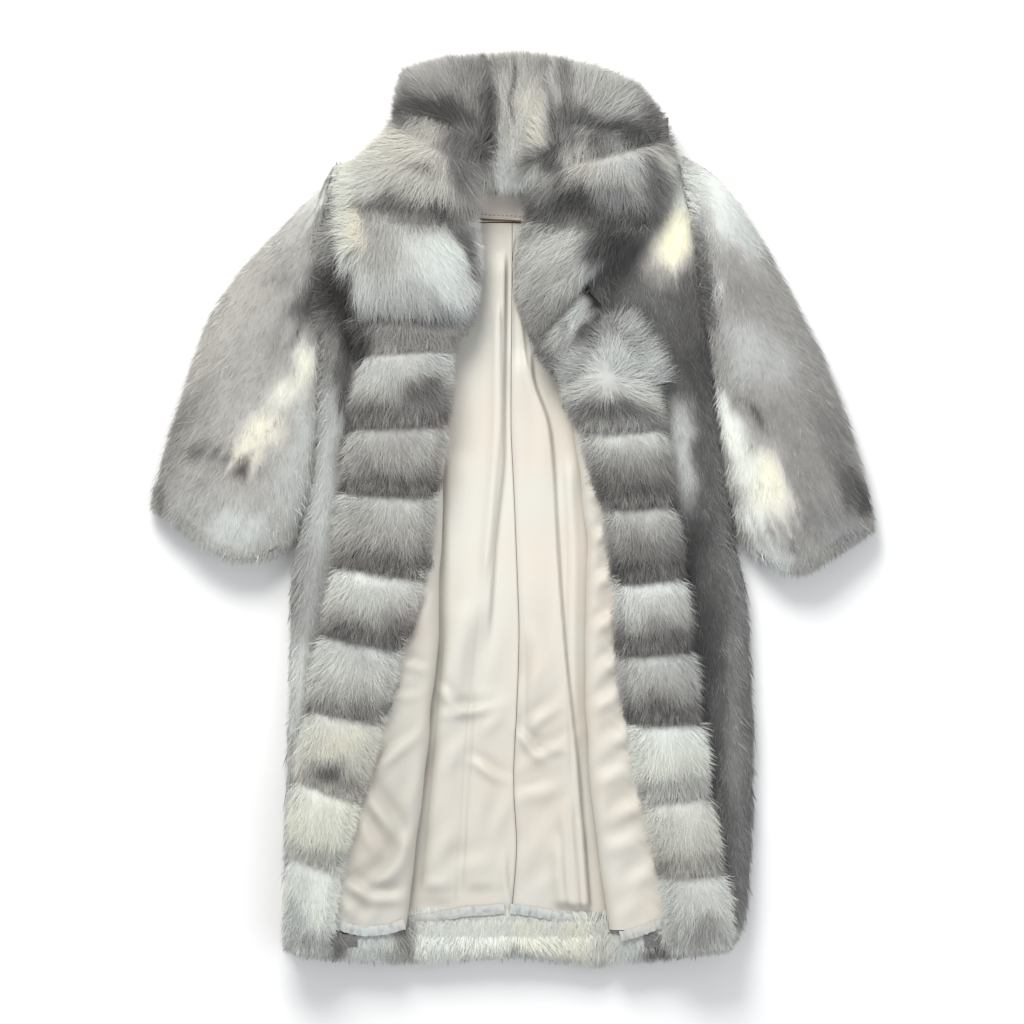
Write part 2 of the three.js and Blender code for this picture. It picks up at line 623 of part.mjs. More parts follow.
function piping() {
  const radius = PIPING_DIAMETER / 2;
  const sides = 8;
  const rings = [-50, -38, -26, -14, -2, 8, 14].map((x) => {
    const y = LINING_TOP + 4 + Math.cos(x / 18);
    return Array.from({ length: sides }, (_, side) => {
      const angle = (side / sides) * 2 * Math.PI;
      const z = ON_BACK_LINING + GAP + radius + radius * Math.sin(angle);
      return new THREE.Vector3(x, y + radius * Math.cos(angle), z);
    });
  });
  return loft(rings);
}
addPiece('neck_piping', piping(), CORD);

export default coat;
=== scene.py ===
import math

import bpy
import numpy as np
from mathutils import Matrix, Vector
from mathutils.bvhtree import BVHTree


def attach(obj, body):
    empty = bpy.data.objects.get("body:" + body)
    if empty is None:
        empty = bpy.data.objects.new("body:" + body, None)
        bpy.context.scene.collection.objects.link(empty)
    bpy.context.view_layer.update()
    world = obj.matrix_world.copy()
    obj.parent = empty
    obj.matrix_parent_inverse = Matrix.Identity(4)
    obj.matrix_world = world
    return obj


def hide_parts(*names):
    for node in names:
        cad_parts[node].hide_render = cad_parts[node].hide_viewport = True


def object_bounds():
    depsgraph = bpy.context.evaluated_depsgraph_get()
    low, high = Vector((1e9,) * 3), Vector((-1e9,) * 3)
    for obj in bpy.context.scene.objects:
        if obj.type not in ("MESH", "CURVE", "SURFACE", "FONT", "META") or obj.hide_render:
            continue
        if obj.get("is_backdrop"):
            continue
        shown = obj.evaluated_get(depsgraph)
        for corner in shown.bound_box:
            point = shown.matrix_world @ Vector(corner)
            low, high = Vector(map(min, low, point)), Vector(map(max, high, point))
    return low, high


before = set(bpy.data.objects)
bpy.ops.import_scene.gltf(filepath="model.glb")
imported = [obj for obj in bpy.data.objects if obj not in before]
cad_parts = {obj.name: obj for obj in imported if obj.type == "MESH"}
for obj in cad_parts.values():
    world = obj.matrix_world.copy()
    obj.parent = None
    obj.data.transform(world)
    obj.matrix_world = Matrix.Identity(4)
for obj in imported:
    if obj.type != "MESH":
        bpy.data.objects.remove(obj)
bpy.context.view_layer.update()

MM = 0.001


# Back
# One broad panel of fox pelts let in lengthwise, which lies fur side down under everything.
# The leather side is hidden. The coat's weight presses its fur flat against the floor.

BACK_TONE, BACK_WARMTH = 0.52, 0.4
SKIN_INSET = 0.006  # the leather and dense underfur lie this far below the hair's own surface
# kinds of hair: length, width at the root and how far it stands off its form, in metres
UNDERFUR = (0.034, 0.0011, 0.005)
SHORT_UNDERFUR = (0.034 * 0.8, 0.0011, 0.005)
GUARD_HAIR = (0.030, 0.00045, 0.009)
COLLAR_HAIR = (0.040, 0.00045, 0.009)
PRESSED_HAIR = (0.058, 0.0034, 0.004)
PRESSED_SLEEVE_HAIR = (0.040, 0.0020, 0.004)
UNDER_COLLAR_HAIR = (0.034, 0.0012, 0.006)
STAND_HAIR = (0.034, 0.0009, 0.006)
HEM_HAIR = (0.034, 0.0009, 0.008)
HEM_UNDERFUR = (0.026, 0.0015, 0.006)
LOW_TUFT, TALL_TUFT, SIDE_TUFT = (0.030, 0.0010, 0.001), (0.036, 0.0010, 0.010), (0.032, 0.0010, 0.010)
SEAM_HAIR = (0.00045, 0.006)  # its width and lift only: its length changes from seam to seam

# Fox fur, combed. Guard hairs are banded, so one coat runs from brown-black through silver
# to white. The cool row is a blue-grey coat, the warm row is its beige and cream parts.
COOL_FUR = [(0.0, "#272828"), (0.25, "#5a5d5e"), (0.5, "#999b9b"), (0.75, "#ced3d1"), (1.0, "#f4f9f5")]
WARM_FUR = [(0.0, "#2c2724"), (0.25, "#676059"), (0.5, "#aaa298"), (0.75, "#dfd9c9"), (1.0, "#fefbdb")]


def linear(hex_colour):
    """An sRGB hex colour as the linear colour that a shader takes."""
    channels = [int(hex_colour[i:i + 2], 16) / 255 for i in (1, 3, 5)]
    return [c / 12.92 if c <= 0.04045 else ((c + 0.055) / 1.055) ** 2.4 for c in channels] + [1]


def node(tree, kind, inputs=None, stops=None, **settings):
    """Adds a shader node with its settings, links or values for its inputs, and a ramp's stops."""
    made = tree.nodes.new("ShaderNode" + kind)
    for name, value in settings.items():
        setattr(made, name, value)
    for name, value in (inputs or {}).items():
        if isinstance(value, bpy.types.NodeSocket):
            tree.links.new(value, made.inputs[name])
        else:
            made.inputs[name].default_value = value
    if stops:
        elements = made.color_ramp.elements
        while len(elements) < len(stops):
            elements.new(1)
        for element, (place, hex_colour) in zip(elements, stops):
            element.position = place
            element.color = linear(hex_colour)
    return made


def fox_fur():
    """Hair and underfur: tone runs dark to light, warmth runs blue-grey to cream."""
    material = bpy.data.materials.new("fox_fur_combed")
    material.use_nodes = True
    tree = material.node_tree
    shader = tree.nodes["Principled BSDF"]
    tone = node(tree, "Attribute", attribute_name="tone").outputs["Fac"]
    warmth = node(tree, "Attribute", attribute_name="warmth").outputs["Fac"]
    lot = node(tree, "Attribute", attribute_name="lot").outputs["Fac"]
    along = node(tree, "Attribute", attribute_name="along").outputs["Fac"]
    place = node(tree, "TexCoord").outputs["Object"]
    # locks of hair about 12 mm wide take the comb a little differently
    locks = node(tree, "TexNoise", {"Vector": place, "Scale": 80.0, "Detail": 3.0}).outputs["Fac"]
    lock_shade = node(tree, "MapRange", {"Value": locks, "To Min": -0.03, "To Max": 0.03}).outputs["Result"]
    hair_shade = node(tree, "MapRange", {"Value": lot, "To Min": -0.06, "To Max": 0.14}).outputs["Result"]
    tip_shade = node(tree, "MapRange", {"Value": along, "To Min": -0.06, "To Max": 0.05}).outputs["Result"]
    first = node(tree, "Math", {0: tone, 1: lock_shade}, operation="ADD").outputs[0]
    second = node(tree, "Math", {0: first, 1: hair_shade}, operation="ADD").outputs[0]
    shade = node(tree, "Math", {0: second, 1: tip_shade}, operation="ADD").outputs[0]
    cool = node(tree, "ValToRGB", {"Fac": shade}, COOL_FUR).outputs["Color"]
    warm = node(tree, "ValToRGB", {"Fac": shade}, WARM_FUR).outputs["Color"]
    colour = node(tree, "Mix", {"Factor": warmth, 6: cool, 7: warm}, data_type="RGBA").outputs[2]
    gloss = node(tree, "MapRange", {"Value": along, "To Min": 0.75, "To Max": 0.5}).outputs["Result"]
    tree.links.new(colour, shader.inputs["Base Color"])
    tree.links.new(gloss, shader.inputs["Roughness"])
    shader.inputs["Specular IOR Level"].default_value = 0.15
    shader.inputs["Sheen Weight"].default_value = 0.03
    shader.inputs["Sheen Roughness"].default_value = 0.6
    return material


FUR = fox_fur()


def soft_noise(x, y, cell, seed):
    """Smooth random hills between -1 and 1, each about one cell wide."""
    grid = np.random.default_rng(seed).uniform(-1, 1, (64, 64))
    gx, gy = x / cell, y / cell
    ix, iy = np.floor(gx).astype(int), np.floor(gy).astype(int)
    fx, fy = gx - ix, gy - iy
    fx, fy = fx * fx * (3 - 2 * fx), fy * fy * (3 - 2 * fy)
    low = grid[ix % 64, iy % 64] * (1 - fx) + grid[(ix + 1) % 64, iy % 64] * fx
    high = grid[ix % 64, (iy + 1) % 64] * (1 - fx) + grid[(ix + 1) % 64, (iy + 1) % 64] * fx
    return low * (1 - fy) + high * fy


def unit(vectors):
    return vectors / np.maximum(np.linalg.norm(vectors, axis=1, keepdims=True), 1e-9)


def outward(points, faces):
    """Smooth outward direction at each point of a mesh of triangles."""
    corners = points[faces]
    facing = np.cross(corners[:, 1] - corners[:, 0], corners[:, 2] - corners[:, 0])
    total = np.zeros_like(points)
    for corner in range(3):
        np.add.at(total, faces[:, corner], facing)
    return unit(total)


def mesh_of(name, points, faces, material):
    """A smooth mesh object of triangles or quads that rides on the coat."""
    data = bpy.data.meshes.new(name)
    count, sides = faces.shape
    data.vertices.add(len(points))
    data.vertices.foreach_set("co", points.astype(np.float32).ravel())
    data.loops.add(count * sides)
    data.loops.foreach_set("vertex_index", faces.astype(np.int32).ravel())
    data.polygons.add(count)
    data.polygons.foreach_set("loop_start", np.arange(0, count * sides, sides, dtype=np.int32))
    data.update(calc_edges=True)
    data.validate()
    data.shade_smooth()
    data.materials.append(material)
    piece = bpy.data.objects.new(name, data)
    bpy.context.scene.collection.objects.link(piece)
    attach(piece, "root")
    return piece


def give(piece, name, values):
    layer = piece.data.attributes.new(name, "FLOAT", "POINT")
    layer.data.foreach_set("value", np.asarray(values, np.float32))


def smooth_form(node_name, keep, levels=1):
    """The kept faces of a CAD solid, rounded by subdivision: points, triangles and directions."""
    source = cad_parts[node_name].data
    points = np.empty(len(source.vertices) * 3, np.float32)
    source.vertices.foreach_get("co", points)
    source.calc_loop_triangles()
    faces = np.empty(len(source.loop_triangles) * 3, np.int32)
    source.loop_triangles.foreach_get("vertices", faces)
    points, places = np.unique(points.reshape(-1, 3).round(5), axis=0, return_inverse=True)
    faces = places.reshape(-1)[faces].reshape(-1, 3)
    corners = points[faces]
    facing = unit(np.cross(corners[:, 1] - corners[:, 0], corners[:, 2] - corners[:, 0]).astype(float))
    kept = faces[keep(corners.mean(1), facing)]
    rough = bpy.data.meshes.new("rough")
    rough.from_pydata(points.tolist(), [], kept.tolist())
    holder = bpy.data.objects.new("rough", rough)
    bpy.context.scene.collection.objects.link(holder)
    holder.modifiers.new("rounder", "SUBSURF").levels = levels
    finer = holder.evaluated_get(bpy.context.evaluated_depsgraph_get()).to_mesh()
    finer.calc_loop_triangles()
    points = np.empty(len(finer.vertices) * 3, np.float32)
    finer.vertices.foreach_get("co", points)
    faces = np.empty(len(finer.loop_triangles) * 3, np.int32)
    finer.loop_triangles.foreach_get("vertices", faces)
    bpy.data.objects.remove(holder)
    used, faces = np.unique(faces, return_inverse=True)
    points = points.reshape(-1, 3)[used].astype(float)
    faces = faces.reshape(-1, 3)
    return points, faces, outward(points, faces)


CELL = 0.003
FUR_SLOTS = ("back", "front", "trim", "collar", "sleeve", "hem_fur")


def ground_plan():
    """From above, in 3 mm cells: where the coat lies, and where fur is the topmost thing."""
    points, faces, fur = [], [], []
    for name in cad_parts:
        if name.startswith("front_lining") or name.startswith("back_lining"):
            is_fur = False
        else:
            is_fur = name.startswith(FUR_SLOTS)
        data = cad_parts[name].data
        start = len(points)
        points += [v.co.copy() for v in data.vertices]
        faces += [[start + i for i in p.vertices] for p in data.polygons]
        fur += [is_fur] * len(data.polygons)
    tree = BVHTree.FromPolygons(points, faces)
    xs = np.arange(-0.57, 0.57, CELL)
    ys = np.arange(-0.69, 0.69, CELL)
    coat_plan = np.zeros((len(xs), len(ys)), bool)
    fur_plan = np.zeros((len(xs), len(ys)), bool)
    down = Vector((0, 0, -1))
    for i, x in enumerate(xs):
        for j, y in enumerate(ys):
            face = tree.ray_cast(Vector((x, y, 1)), down)[2]
            if face is not None:
                coat_plan[i, j] = True
                fur_plan[i, j] = fur[face]
    return {"coat": coat_plan, "fur": fur_plan, "tree": tree}


PLAN = ground_plan()


def within(points, plan):
    i = np.clip(((points[:, 0] + 0.57) / CELL).round().astype(int), 0, PLAN[plan].shape[0] - 1)
    j = np.clip(((points[:, 1] + 0.69) / CELL).round().astype(int), 0, PLAN[plan].shape[1] - 1)
    return PLAN[plan][i, j]


def painted(points, tone, warmth, patches, seed):
    """Tone and warmth at each point: a base, then soft patches with wandering edges.
    A patch is x, y, half width, half height in mm, turn in degrees, its tone and its warmth."""
    x, y = points[:, 0] / MM, points[:, 1] / MM
    x = x + 9 * soft_noise(x, y, 38, seed) + 4 * soft_noise(x, y, 14, seed + 1)
    y = y + 14 * soft_noise(x, y, 44, seed + 2) + 7 * soft_noise(x, y, 16, seed + 3)
    tones = np.zeros(len(x)) + tone
    warmths = np.zeros(len(x)) + warmth
    for px, py, wide, high, turn, patch_tone, patch_warmth in patches:
        c, s = math.cos(math.radians(turn)), math.sin(math.radians(turn))
        u = ((x - px) * c + (y - py) * s) / wide
        v = ((y - py) * c - (x - px) * s) / high
        share = np.exp(-((u * u + v * v) ** 1.8))
        tones += (patch_tone - tones) * share
        warmths += (patch_warmth - warmths) * share
    return tones, warmths


def strands(form, flow, paint, per_cm2, kind, seed, covers=(), droop=0.0, fray=10, under=0.008, plan="fur"):
    """Hairs scattered over a form. Each starts under it, leans out and lies along the flow.
    fray is how far, in degrees, a hair strays from the flow. One that would reach far past the
    plan's edge is cut short there, as the real outline is."""
    length, width, lift = kind
    points, faces, directions = form
    rng = np.random.default_rng(seed)
    corners = points[faces]
    area = np.linalg.norm(np.cross(corners[:, 1] - corners[:, 0], corners[:, 2] - corners[:, 0]), axis=1) / 2
    face = np.repeat(np.arange(len(faces)), rng.poisson(area * 1e4 * per_cm2))
    a, b = rng.random((2, len(face), 1))
    fold = a + b > 1
    a, b = np.where(fold, 1 - a, a), np.where(fold, 1 - b, b)
    weights = (1 - a - b, a, b)
    root = sum(w * points[faces[face, i]] for i, w in enumerate(weights))
    out = unit(sum(w * directions[faces[face, i]] for i, w in enumerate(weights)))
    if covers:
        free = np.array([all(tree.ray_cast(p, (0, 0, 1))[0] is None for tree in covers) for p in root])
        root, out = root[free], out[free]
    n = len(root)
    lay = flow(root)
    root = root - out * under
    # combed fur floats over seams and hollows, so it takes little notice of slopes that face up
    out = np.where(out[:, 2:] > -0.3, unit(out + np.array([0, 0, 1.1])), out)
    lay = unit(lay - out * np.sum(lay * out, 1, keepdims=True))
    side = np.cross(out, lay)
    x, y = root[:, 0] / MM, root[:, 1] / MM
    stray = 14 * soft_noise(x, y, 52, seed + 5) + 5 * soft_noise(x, y, 17, seed + 6) + rng.normal(0, fray, n)
    turn = np.radians(stray)[:, None]
    lay, side = lay * np.cos(turn) + side * np.sin(turn), side * np.cos(turn) - lay * np.sin(turn)
    reach = (length * rng.uniform(0.72, 1.15, n))[:, None]
    past = rng.uniform(-0.004, 0.008, n)[:, None]
    for _ in range(6):
        reach = np.where(within(root + lay * (reach - past), plan)[:, None], reach, reach * 0.8)
    tones, warmths = paint(root + lay * reach * 0.55)
    rise = (lift * rng.uniform(0.5, 1.15, n) * (1 + 0.15 * soft_noise(x, y, 13, seed + 7)))[:, None]
    curl = rng.normal(0, 0.09, n)[:, None]
    roll = rng.uniform(-0.6, 0.6, n)[:, None]
    across = side * np.cos(roll) + out * np.sin(roll)
    shading = unit(out + side * rng.normal(0, 0.14, n)[:, None] + lay * rng.normal(0.05, 0.1, n)[:, None])
    half = (width * rng.uniform(0.7, 1.3, n))[:, None] / 2

    rows, along = [], []
    for t in (0.0, 0.5, 1.0):
        middle = root + lay * reach * t + out * rise * (1.9 * t - 1.1 * t * t) + side * reach * curl * t * t
        middle[:, 2] -= droop * t * t
        if t < 1:
            wide = half * (1.0 - 0.45 * t)
            rows += [middle - across * wide, middle + across * wide]
            along += [t, t]
        else:
            rows.append(middle)
            along.append(t)
    per = len(rows)
    made = np.stack(rows, 1)
    made[:, :, 2] = np.maximum(made[:, :, 2], 0.0006)
    pattern = [(0, 3, 1), (0, 2, 3), (3, 2, 4)]
    order = np.lexsort((made[:, 0, 0], np.floor(made[:, 0, 1] / 0.012)))
    made, tones, warmths, shading = made[order], tones[order], warmths[order], shading[order]
    # most hairs are a little dark, and a few are much paler: salt and pepper
    lots = rng.random(n) ** 2
    triangles = (np.arange(n)[:, None, None] * per + np.array(pattern)[None]).reshape(-1, 3)
    cells = max(1, math.ceil(math.sqrt(n)))
    cell = np.stack([np.arange(n) % cells, np.arange(n) // cells], 1)[:, None, :]
    inside = np.array([[0.2 if k % 2 == 0 else 0.8, 0.15 + 0.7 * t] for k, t in enumerate(along)])[None]
    inside[0, -1, 0] = 0.5
    return {
        "points": made.reshape(-1, 3),
        "faces": triangles,
        "tone": np.repeat(tones, per),
        "warmth": np.repeat(warmths, per),
        "lot": np.repeat(lots, per),
        "along": np.tile(along, n),
        "shading": np.repeat(shading, per, 0),
        "map": ((cell + inside) / cells).reshape(-1, 2),
        "count": n,
    }


def hair_piece(name, tufts):
    """Joins lots of hair into one mesh. Each lot has its own strip of the map, sized by its count."""
    keys = ("points", "faces", "tone", "warmth", "lot", "along", "shading", "map")
    start, drawn = 0, {key: [] for key in keys}
    total = sum(tuft["count"] for tuft in tufts)
    low = 0.0
    for tuft in tufts:
        share = tuft["count"] / total
        drawn["faces"].append(tuft["faces"] + start)
        drawn["map"].append(tuft["map"] * [1, share] + [0, low])
        for key in ("points", "tone", "warmth", "lot", "along", "shading"):
            drawn[key].append(tuft[key])
        start += len(tuft["points"])
        low += share
    drawn = {key: np.concatenate(parts) for key, parts in drawn.items()}
    piece = mesh_of(name, drawn["points"], drawn["faces"], FUR)
    for key in ("tone", "warmth", "lot", "along"):
        give(piece, key, drawn[key])
    chart = piece.data.uv_layers.new(name="OFBake")
    chart.data.foreach_set("uv", drawn["map"][drawn["faces"].ravel()].astype(np.float32).ravel())
    piece.data.normals_split_custom_set_from_vertices(drawn["shading"].astype(np.float32))
    return piece


def skin_piece(name, forms, paint, nodes, inset=SKIN_INSET):
    """Leather with its dense underfur: the forms joined, drawn in under the hair."""
    start, points, faces = 0, [], []
    for form_points, form_faces, directions in forms:
        points.append(form_points - directions * inset)
        faces.append(form_faces + start)
        start += len(form_points)
    points, faces = np.concatenate(points), np.concatenate(faces)
    points[:, 2] = np.maximum(points[:, 2], 0.0)
    piece = mesh_of(name, points, faces, FUR)
    tones, warmths = paint(points)
    give(piece, "tone", tones - 0.05)
    give(piece, "warmth", warmths)
    give(piece, "lot", np.full(len(points), 0.3))
    give(piece, "along", np.full(len(points), 0.2))
    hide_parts(*nodes)
    return piece


def strip_faces(count):
    """Triangles of a strip between two rows of points, the second row after the first."""
    i = np.arange(count - 1)
    first = np.column_stack([i, i + count, i + 1])
    second = np.column_stack([i + 1, i + count, i + count + 1])
    return np.concatenate([first, second])


def seam_locks(path, lie, paint, seed, length=0.036, wide=0.018, per_cm2=34, plan="fur",
               level=max, droop=0.0):
    """Hair combed across a seam. It roots beside the seam, given in mm, and lies at that angle."""
    way = np.array([math.cos(math.radians(lie)), math.sin(math.radians(lie))])
    corners = np.array(path) * MM
    steps = np.concatenate([[0], np.cumsum(np.linalg.norm(np.diff(corners, axis=0), axis=1))])
    even = np.linspace(0, steps[-1], int(steps[-1] / 0.006) + 2)
    line = np.stack([np.interp(even, steps, corners[:, k]) for k in range(2)], 1)

    def height(x, y):
        hit = PLAN["tree"].ray_cast(Vector((x, y, 1)), Vector((0, 0, -1)))[0]
        return hit.z if hit else 0.01

    rise = np.array([level([height(*(p - way * back)) for back in (0.003, 0.010, 0.018)]) for p in line])
    rise = np.convolve(np.pad(rise, 2, "edge"), np.ones(5) / 5, "valid")
    rows = [np.column_stack([line - way * wide, rise]), np.column_stack([line + way * 0.002, rise - 0.001])]
    form = (np.concatenate(rows), strip_faces(len(line)), np.tile([0.0, 0.0, 1.0], (2 * len(line), 1)))
    flow = unit(np.array([[way[0], way[1], -0.12]]))
    kind = (length, *SEAM_HAIR)
    return strands(form, lambda roots: np.repeat(flow, len(roots), 0), paint, per_cm2, kind, seed,
                   fray=17, under=0.004, plan=plan, droop=droop)


def down_the_coat(points):
    """Hair on the body lies from the shoulders to the hem, parting a little at the sides."""
    x = points[:, 0]
    return unit(np.stack([0.12 * x / 0.3, -np.ones(len(x)), np.zeros(len(x))], 1))


def back_paint(points):
    return painted(points, BACK_TONE, BACK_WARMTH, BACK_PATCHES, 11)


BACK_PATCHES = [
    (-150, 300, 90, 140, 10, 0.38, 0.45),
    (150, 320, 90, 140, -10, 0.42, 0.4),
    (0, 100, 60, 260, 0, 0.66, 0.35),
    (-260, -200, 50, 300, 0, 0.64, 0.15),
    (300, -250, 60, 300, 0, 0.42, 0.3),
    (0, -620, 330, 45, 0, 0.72, 0.3),
]

back_form = smooth_form("back", lambda centre, facing: facing[:, 2] < 0.6)
back_skin = skin_piece("back_pelts", [back_form], back_paint, ["back"], inset=0.003)
back_hair = hair_piece("back_hair", [
    strands(back_form, down_the_coat, back_paint, 1.5, PRESSED_HAIR, 21, under=0.002, plan="coat"),
])


# Fronts
# Two tall panels of lengthwise pelts. Each is folded back along its roll line, so only the
# loose fur at the side shows, and the fold itself above the lining.

LEFT_PATCHES = [
    (-207, -616, 42, 28, 0, 0.74, 0.1),
    (-253, -616, 14, 20, 0, 0.34, 0.35),
    # the shoulder under the collar, pale on top, with a cream streak
    (-239, 462, 39, 50, 0, 1.08, 0.12),
    (-218, 403, 13, 39, 6, 0.95, 1),
    # the dark streak between the sleeve and the collar, down to the first facing sections
    (-253, 385, 11, 56, 4, 0.56, 0.35),
    (-267, 329, 22, 20, 0, 0.34, 0.4),
    (-248, 292, 34, 50, 8, 0.08, 0.4),
    (-223, 246, 22, 34, 0, 0.08, 0.4),
    (-235, 193, 13, 48, 0, 0.24, 0.35),
    (-256, 217, 14, 36, 0, 0.42, 0.3),
    # the long pale blue-grey column down to the hem, and a narrow dark line beside the facing, which is
    # painted shadow where the facing's raised edge lies over the column
    (-263, 112, 22, 62, 0, 0.66, 0.12),
    (-267, 7, 25, 70, 0, 0.72, 0.12),
    (-232, 63, 7, 92, 2, 0.14, 0.35),
    (-234, -49, 7, 70, 4, 0.20, 0.35),
    (-281, -112, 25, 62, 6, 0.60, 0.15),
    (-256, -161, 8, 70, 6, 0.34, 0.3),
    (-298, -252, 25, 84, 6, 0.80, 0.12),
    (-270, -266, 8, 70, 6, 0.44, 0.3),
    (-301, -385, 20, 56, 0, 0.66, 0.2),
    (-304, -476, 20, 56, 0, 0.54, 0.2),
    (-309, -574, 20, 42, 0, 0.62, 0.2),
    (-281, -385, 11, 56, 6, 0.40, 0.3),
]
RIGHT_PATCHES = [
    (157, -613, 39, 28, 0, 0.78, 0.1),
    (211, -610, 17, 22, 0, 0.30, 0.35),
    # the pale shoulder with its cream patch, dark beside the collar
    (262, 448, 50, 62, -10, 0.92, 0.12),
    (223, 381, 24, 45, -14, 1.05, 0.95),
    (199, 462, 11, 42, 0, 0.30, 0.35),
    (195, 339, 18, 34, 0, 0.62, 0.5),
    # the broad dark column below it
    (248, 252, 36, 70, -4, 0.24, 0.35),
    (245, 325, 13, 20, 0, 0.30, 0.4),
    (262, 182, 28, 56, 0, 0.20, 0.3),
    (178, 294, 31, 48, 0, 0.34, 0.3),
    (147, 336, 28, 42, 0, 0.26, 0.35),
    (195, 245, 7, 36, 10, 0.18, 0.3),
    # a light streak down the middle, dark again beside the sleeve
    (237, 87, 15, 78, 0, 0.70, 0.15),
    (211, 112, 8, 56, 0, 0.48, 0.3),
    (270, 91, 15, 84, 0, 0.28, 0.3),
    # salt and pepper down to the hem, darkest beside the facing
    (248, -70, 28, 84, -2, 0.16, 0.25),
    (269, -196, 20, 98, -4, 0.16, 0.25),
    (312, -182, 18, 126, -4, 0.42, 0.25),
    (279, -329, 20, 84, -3, 0.22, 0.25),
    (314, -343, 17, 84, 0, 0.43, 0.25),
    (293, -469, 17, 70, -2, 0.30, 0.25),
    (325, -518, 17, 84, 0, 0.36, 0.22),
    (315, -595, 20, 42, 0, 0.44, 0.3),
]


def left_paint(points):
    return painted(points, 0.52, 0.3, LEFT_PATCHES, 31)


def right_paint(points):
    return painted(points, 0.34, 0.3, RIGHT_PATCHES, 41)


def over(*names):
    """Ray trees of the CAD solids that lie over a piece, so no hair is spent under them."""
    trees = []
    for name in names:
        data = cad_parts[name].data
        trees.append(BVHTree.FromPolygons([v.co for v in data.vertices], [p.vertices for p in data.polygons]))
    return trees


def front_flow(points):
    """Down the coat. On the neck's fold above the lining the hair hangs off the fold instead."""
    lay = down_the_coat(points)
    lay[:, 2] = -0.1
    return unit(lay)


def shows(centre, facing):
    return facing[:, 2] > -0.35


# where the shoulder's hair runs over the armhole seam on to the sleeve: path and lie
ARMHOLES = {
    "left": ([(-246, 482), (-255, 434), (-260, 378), (-263, 322), (-262, 259)], -158),
    "right": ([(245, 490), (258, 434), (267, 378), (276, 322), (281, 259)], -25),
}
FRONTS = {
    "left": (left_paint, 51),
    "right": (right_paint, 61),
}
for hand, (paint, seed) in FRONTS.items():
    form = smooth_form(f"front_{hand}", shows)
    covering = [f"trim_{hand}_{i}" for i in range(1, 10)]
    covering += [f"collar_{hand}_{i}" for i in ("low", "mid", "top")]
    lying_over = over(*covering, f"front_lining_{hand}", f"hem_patch_{hand}", f"hem_tape_front_{hand}")
    skin = skin_piece(f"front_{hand}_pelts", [form], paint, [f"front_{hand}"], inset=0.004)
    hair = hair_piece(f"front_{hand}_hair", [
        strands(form, front_flow, paint, 6, UNDERFUR, seed, lying_over, fray=18),
        strands(form, front_flow, paint, 20.5, GUARD_HAIR, seed + 1, lying_over, droop=0.003, fray=17),
        seam_locks(*ARMHOLES[hand], paint, seed + 3),
    ])


# Lining of the back
# Two halves of ivory satin, joined in a loose pleat down the middle. Each has long folds that
# rise softly and drop sharply, and slack diagonal wrinkles lower down.

LINING_TOP, LINING_HEM = 0.403, -0.567
SATIN_FLOOR = 0.0255


def satin(name, light, shade, peach, threads=620.0):
    """Satin woven from fine filament: smooth, with a soft wide sheen along its folds."""
    material = bpy.data.materials.new(name)
    material.use_nodes = True
    tree = material.node_tree
    shader = tree.nodes["Principled BSDF"]
    place = node(tree, "TexCoord").outputs["Object"]
    painted_shade = node(tree, "Attribute", attribute_name="painted_shade").outputs["Fac"]
    # broad tints, peach or cool, about 100 mm wide
    tint = node(tree, "TexNoise", {"Vector": place, "Scale": 9.0, "Detail": 1.0}).outputs["Fac"]
    tinted = node(tree, "MapRange", {"Value": tint, "From Min": 0.35, "From Max": 0.65}).outputs["Result"]
    tints = {"Factor": tinted, 6: linear(light), 7: linear(peach)}
    cloth = node(tree, "Mix", tints, data_type="RGBA").outputs[2]
    # painted shade: the cloth's colour is mixed toward the shade colour as far as the painted_shade attribute
    # says
    colour = node(tree, "Mix", {"Factor": painted_shade, 6: cloth, 7: linear(shade)}, data_type="RGBA").outputs[2]
    # threads of 0.2 mm are too fine to show, so they are drawn as ribs of 1.6 mm, very faint
    ribs = node(tree, "TexWave", {"Vector": place, "Scale": threads / 6.28, "Distortion": 2.0, "Detail": 2.0},
                bands_direction="X").outputs["Fac"]
    crepe = node(tree, "TexNoise", {"Vector": place, "Scale": 140.0, "Detail": 2.0}).outputs["Fac"]
    relief = node(tree, "Math", {0: ribs, 1: crepe}, operation="ADD").outputs[0]
    bump = node(tree, "Bump", {"Height": relief, "Strength": 0.05, "Distance": 0.001}).outputs["Normal"]
    gloss = node(tree, "MapRange", {"Value": crepe, "To Min": 0.48, "To Max": 0.6}).outputs["Result"]
    tree.links.new(colour, shader.inputs["Base Color"])
    tree.links.new(gloss, shader.inputs["Roughness"])
    tree.links.new(bump, shader.inputs["Normal"])
    shader.inputs["Anisotropic"].default_value = 0.4
    shader.inputs["Sheen Weight"].default_value = 0.15
    shader.inputs["Specular IOR Level"].default_value = 0.35
    return material


SATIN = satin("ivory_satin", "#d9d7cd", "#8e877d", "#dad3c7")

# the rolled edges of the fronts, and the pleat where the halves meet: y, then x, in mm
ROLL_LEFT = [(462, -48), (403, -49), (371, -52), (294, -55), (250, -72), (231, -82), (168, -85), (63, -98),
             (-42, -101), (-168, -104), (-266, -113), (-378, -125), (-476, -137), (-546, -145), (-610, -152)]
ROLL_RIGHT = [(462, 20), (403, 15), (371, 1), (294, 3), (250, 20), (231, 34), (168, 74), (112, 87), (63, 92),
              (-42, 104), (-168, 102), (-266, 102), (-378, 108), (-476, 120), (-546, 129), (-610, 137)]
PLEAT = [(403, -1), (112, -3), (14, 2), (-168, 9), (-266, 6), (-378, 0), (-476, 6), (-567, -2)]

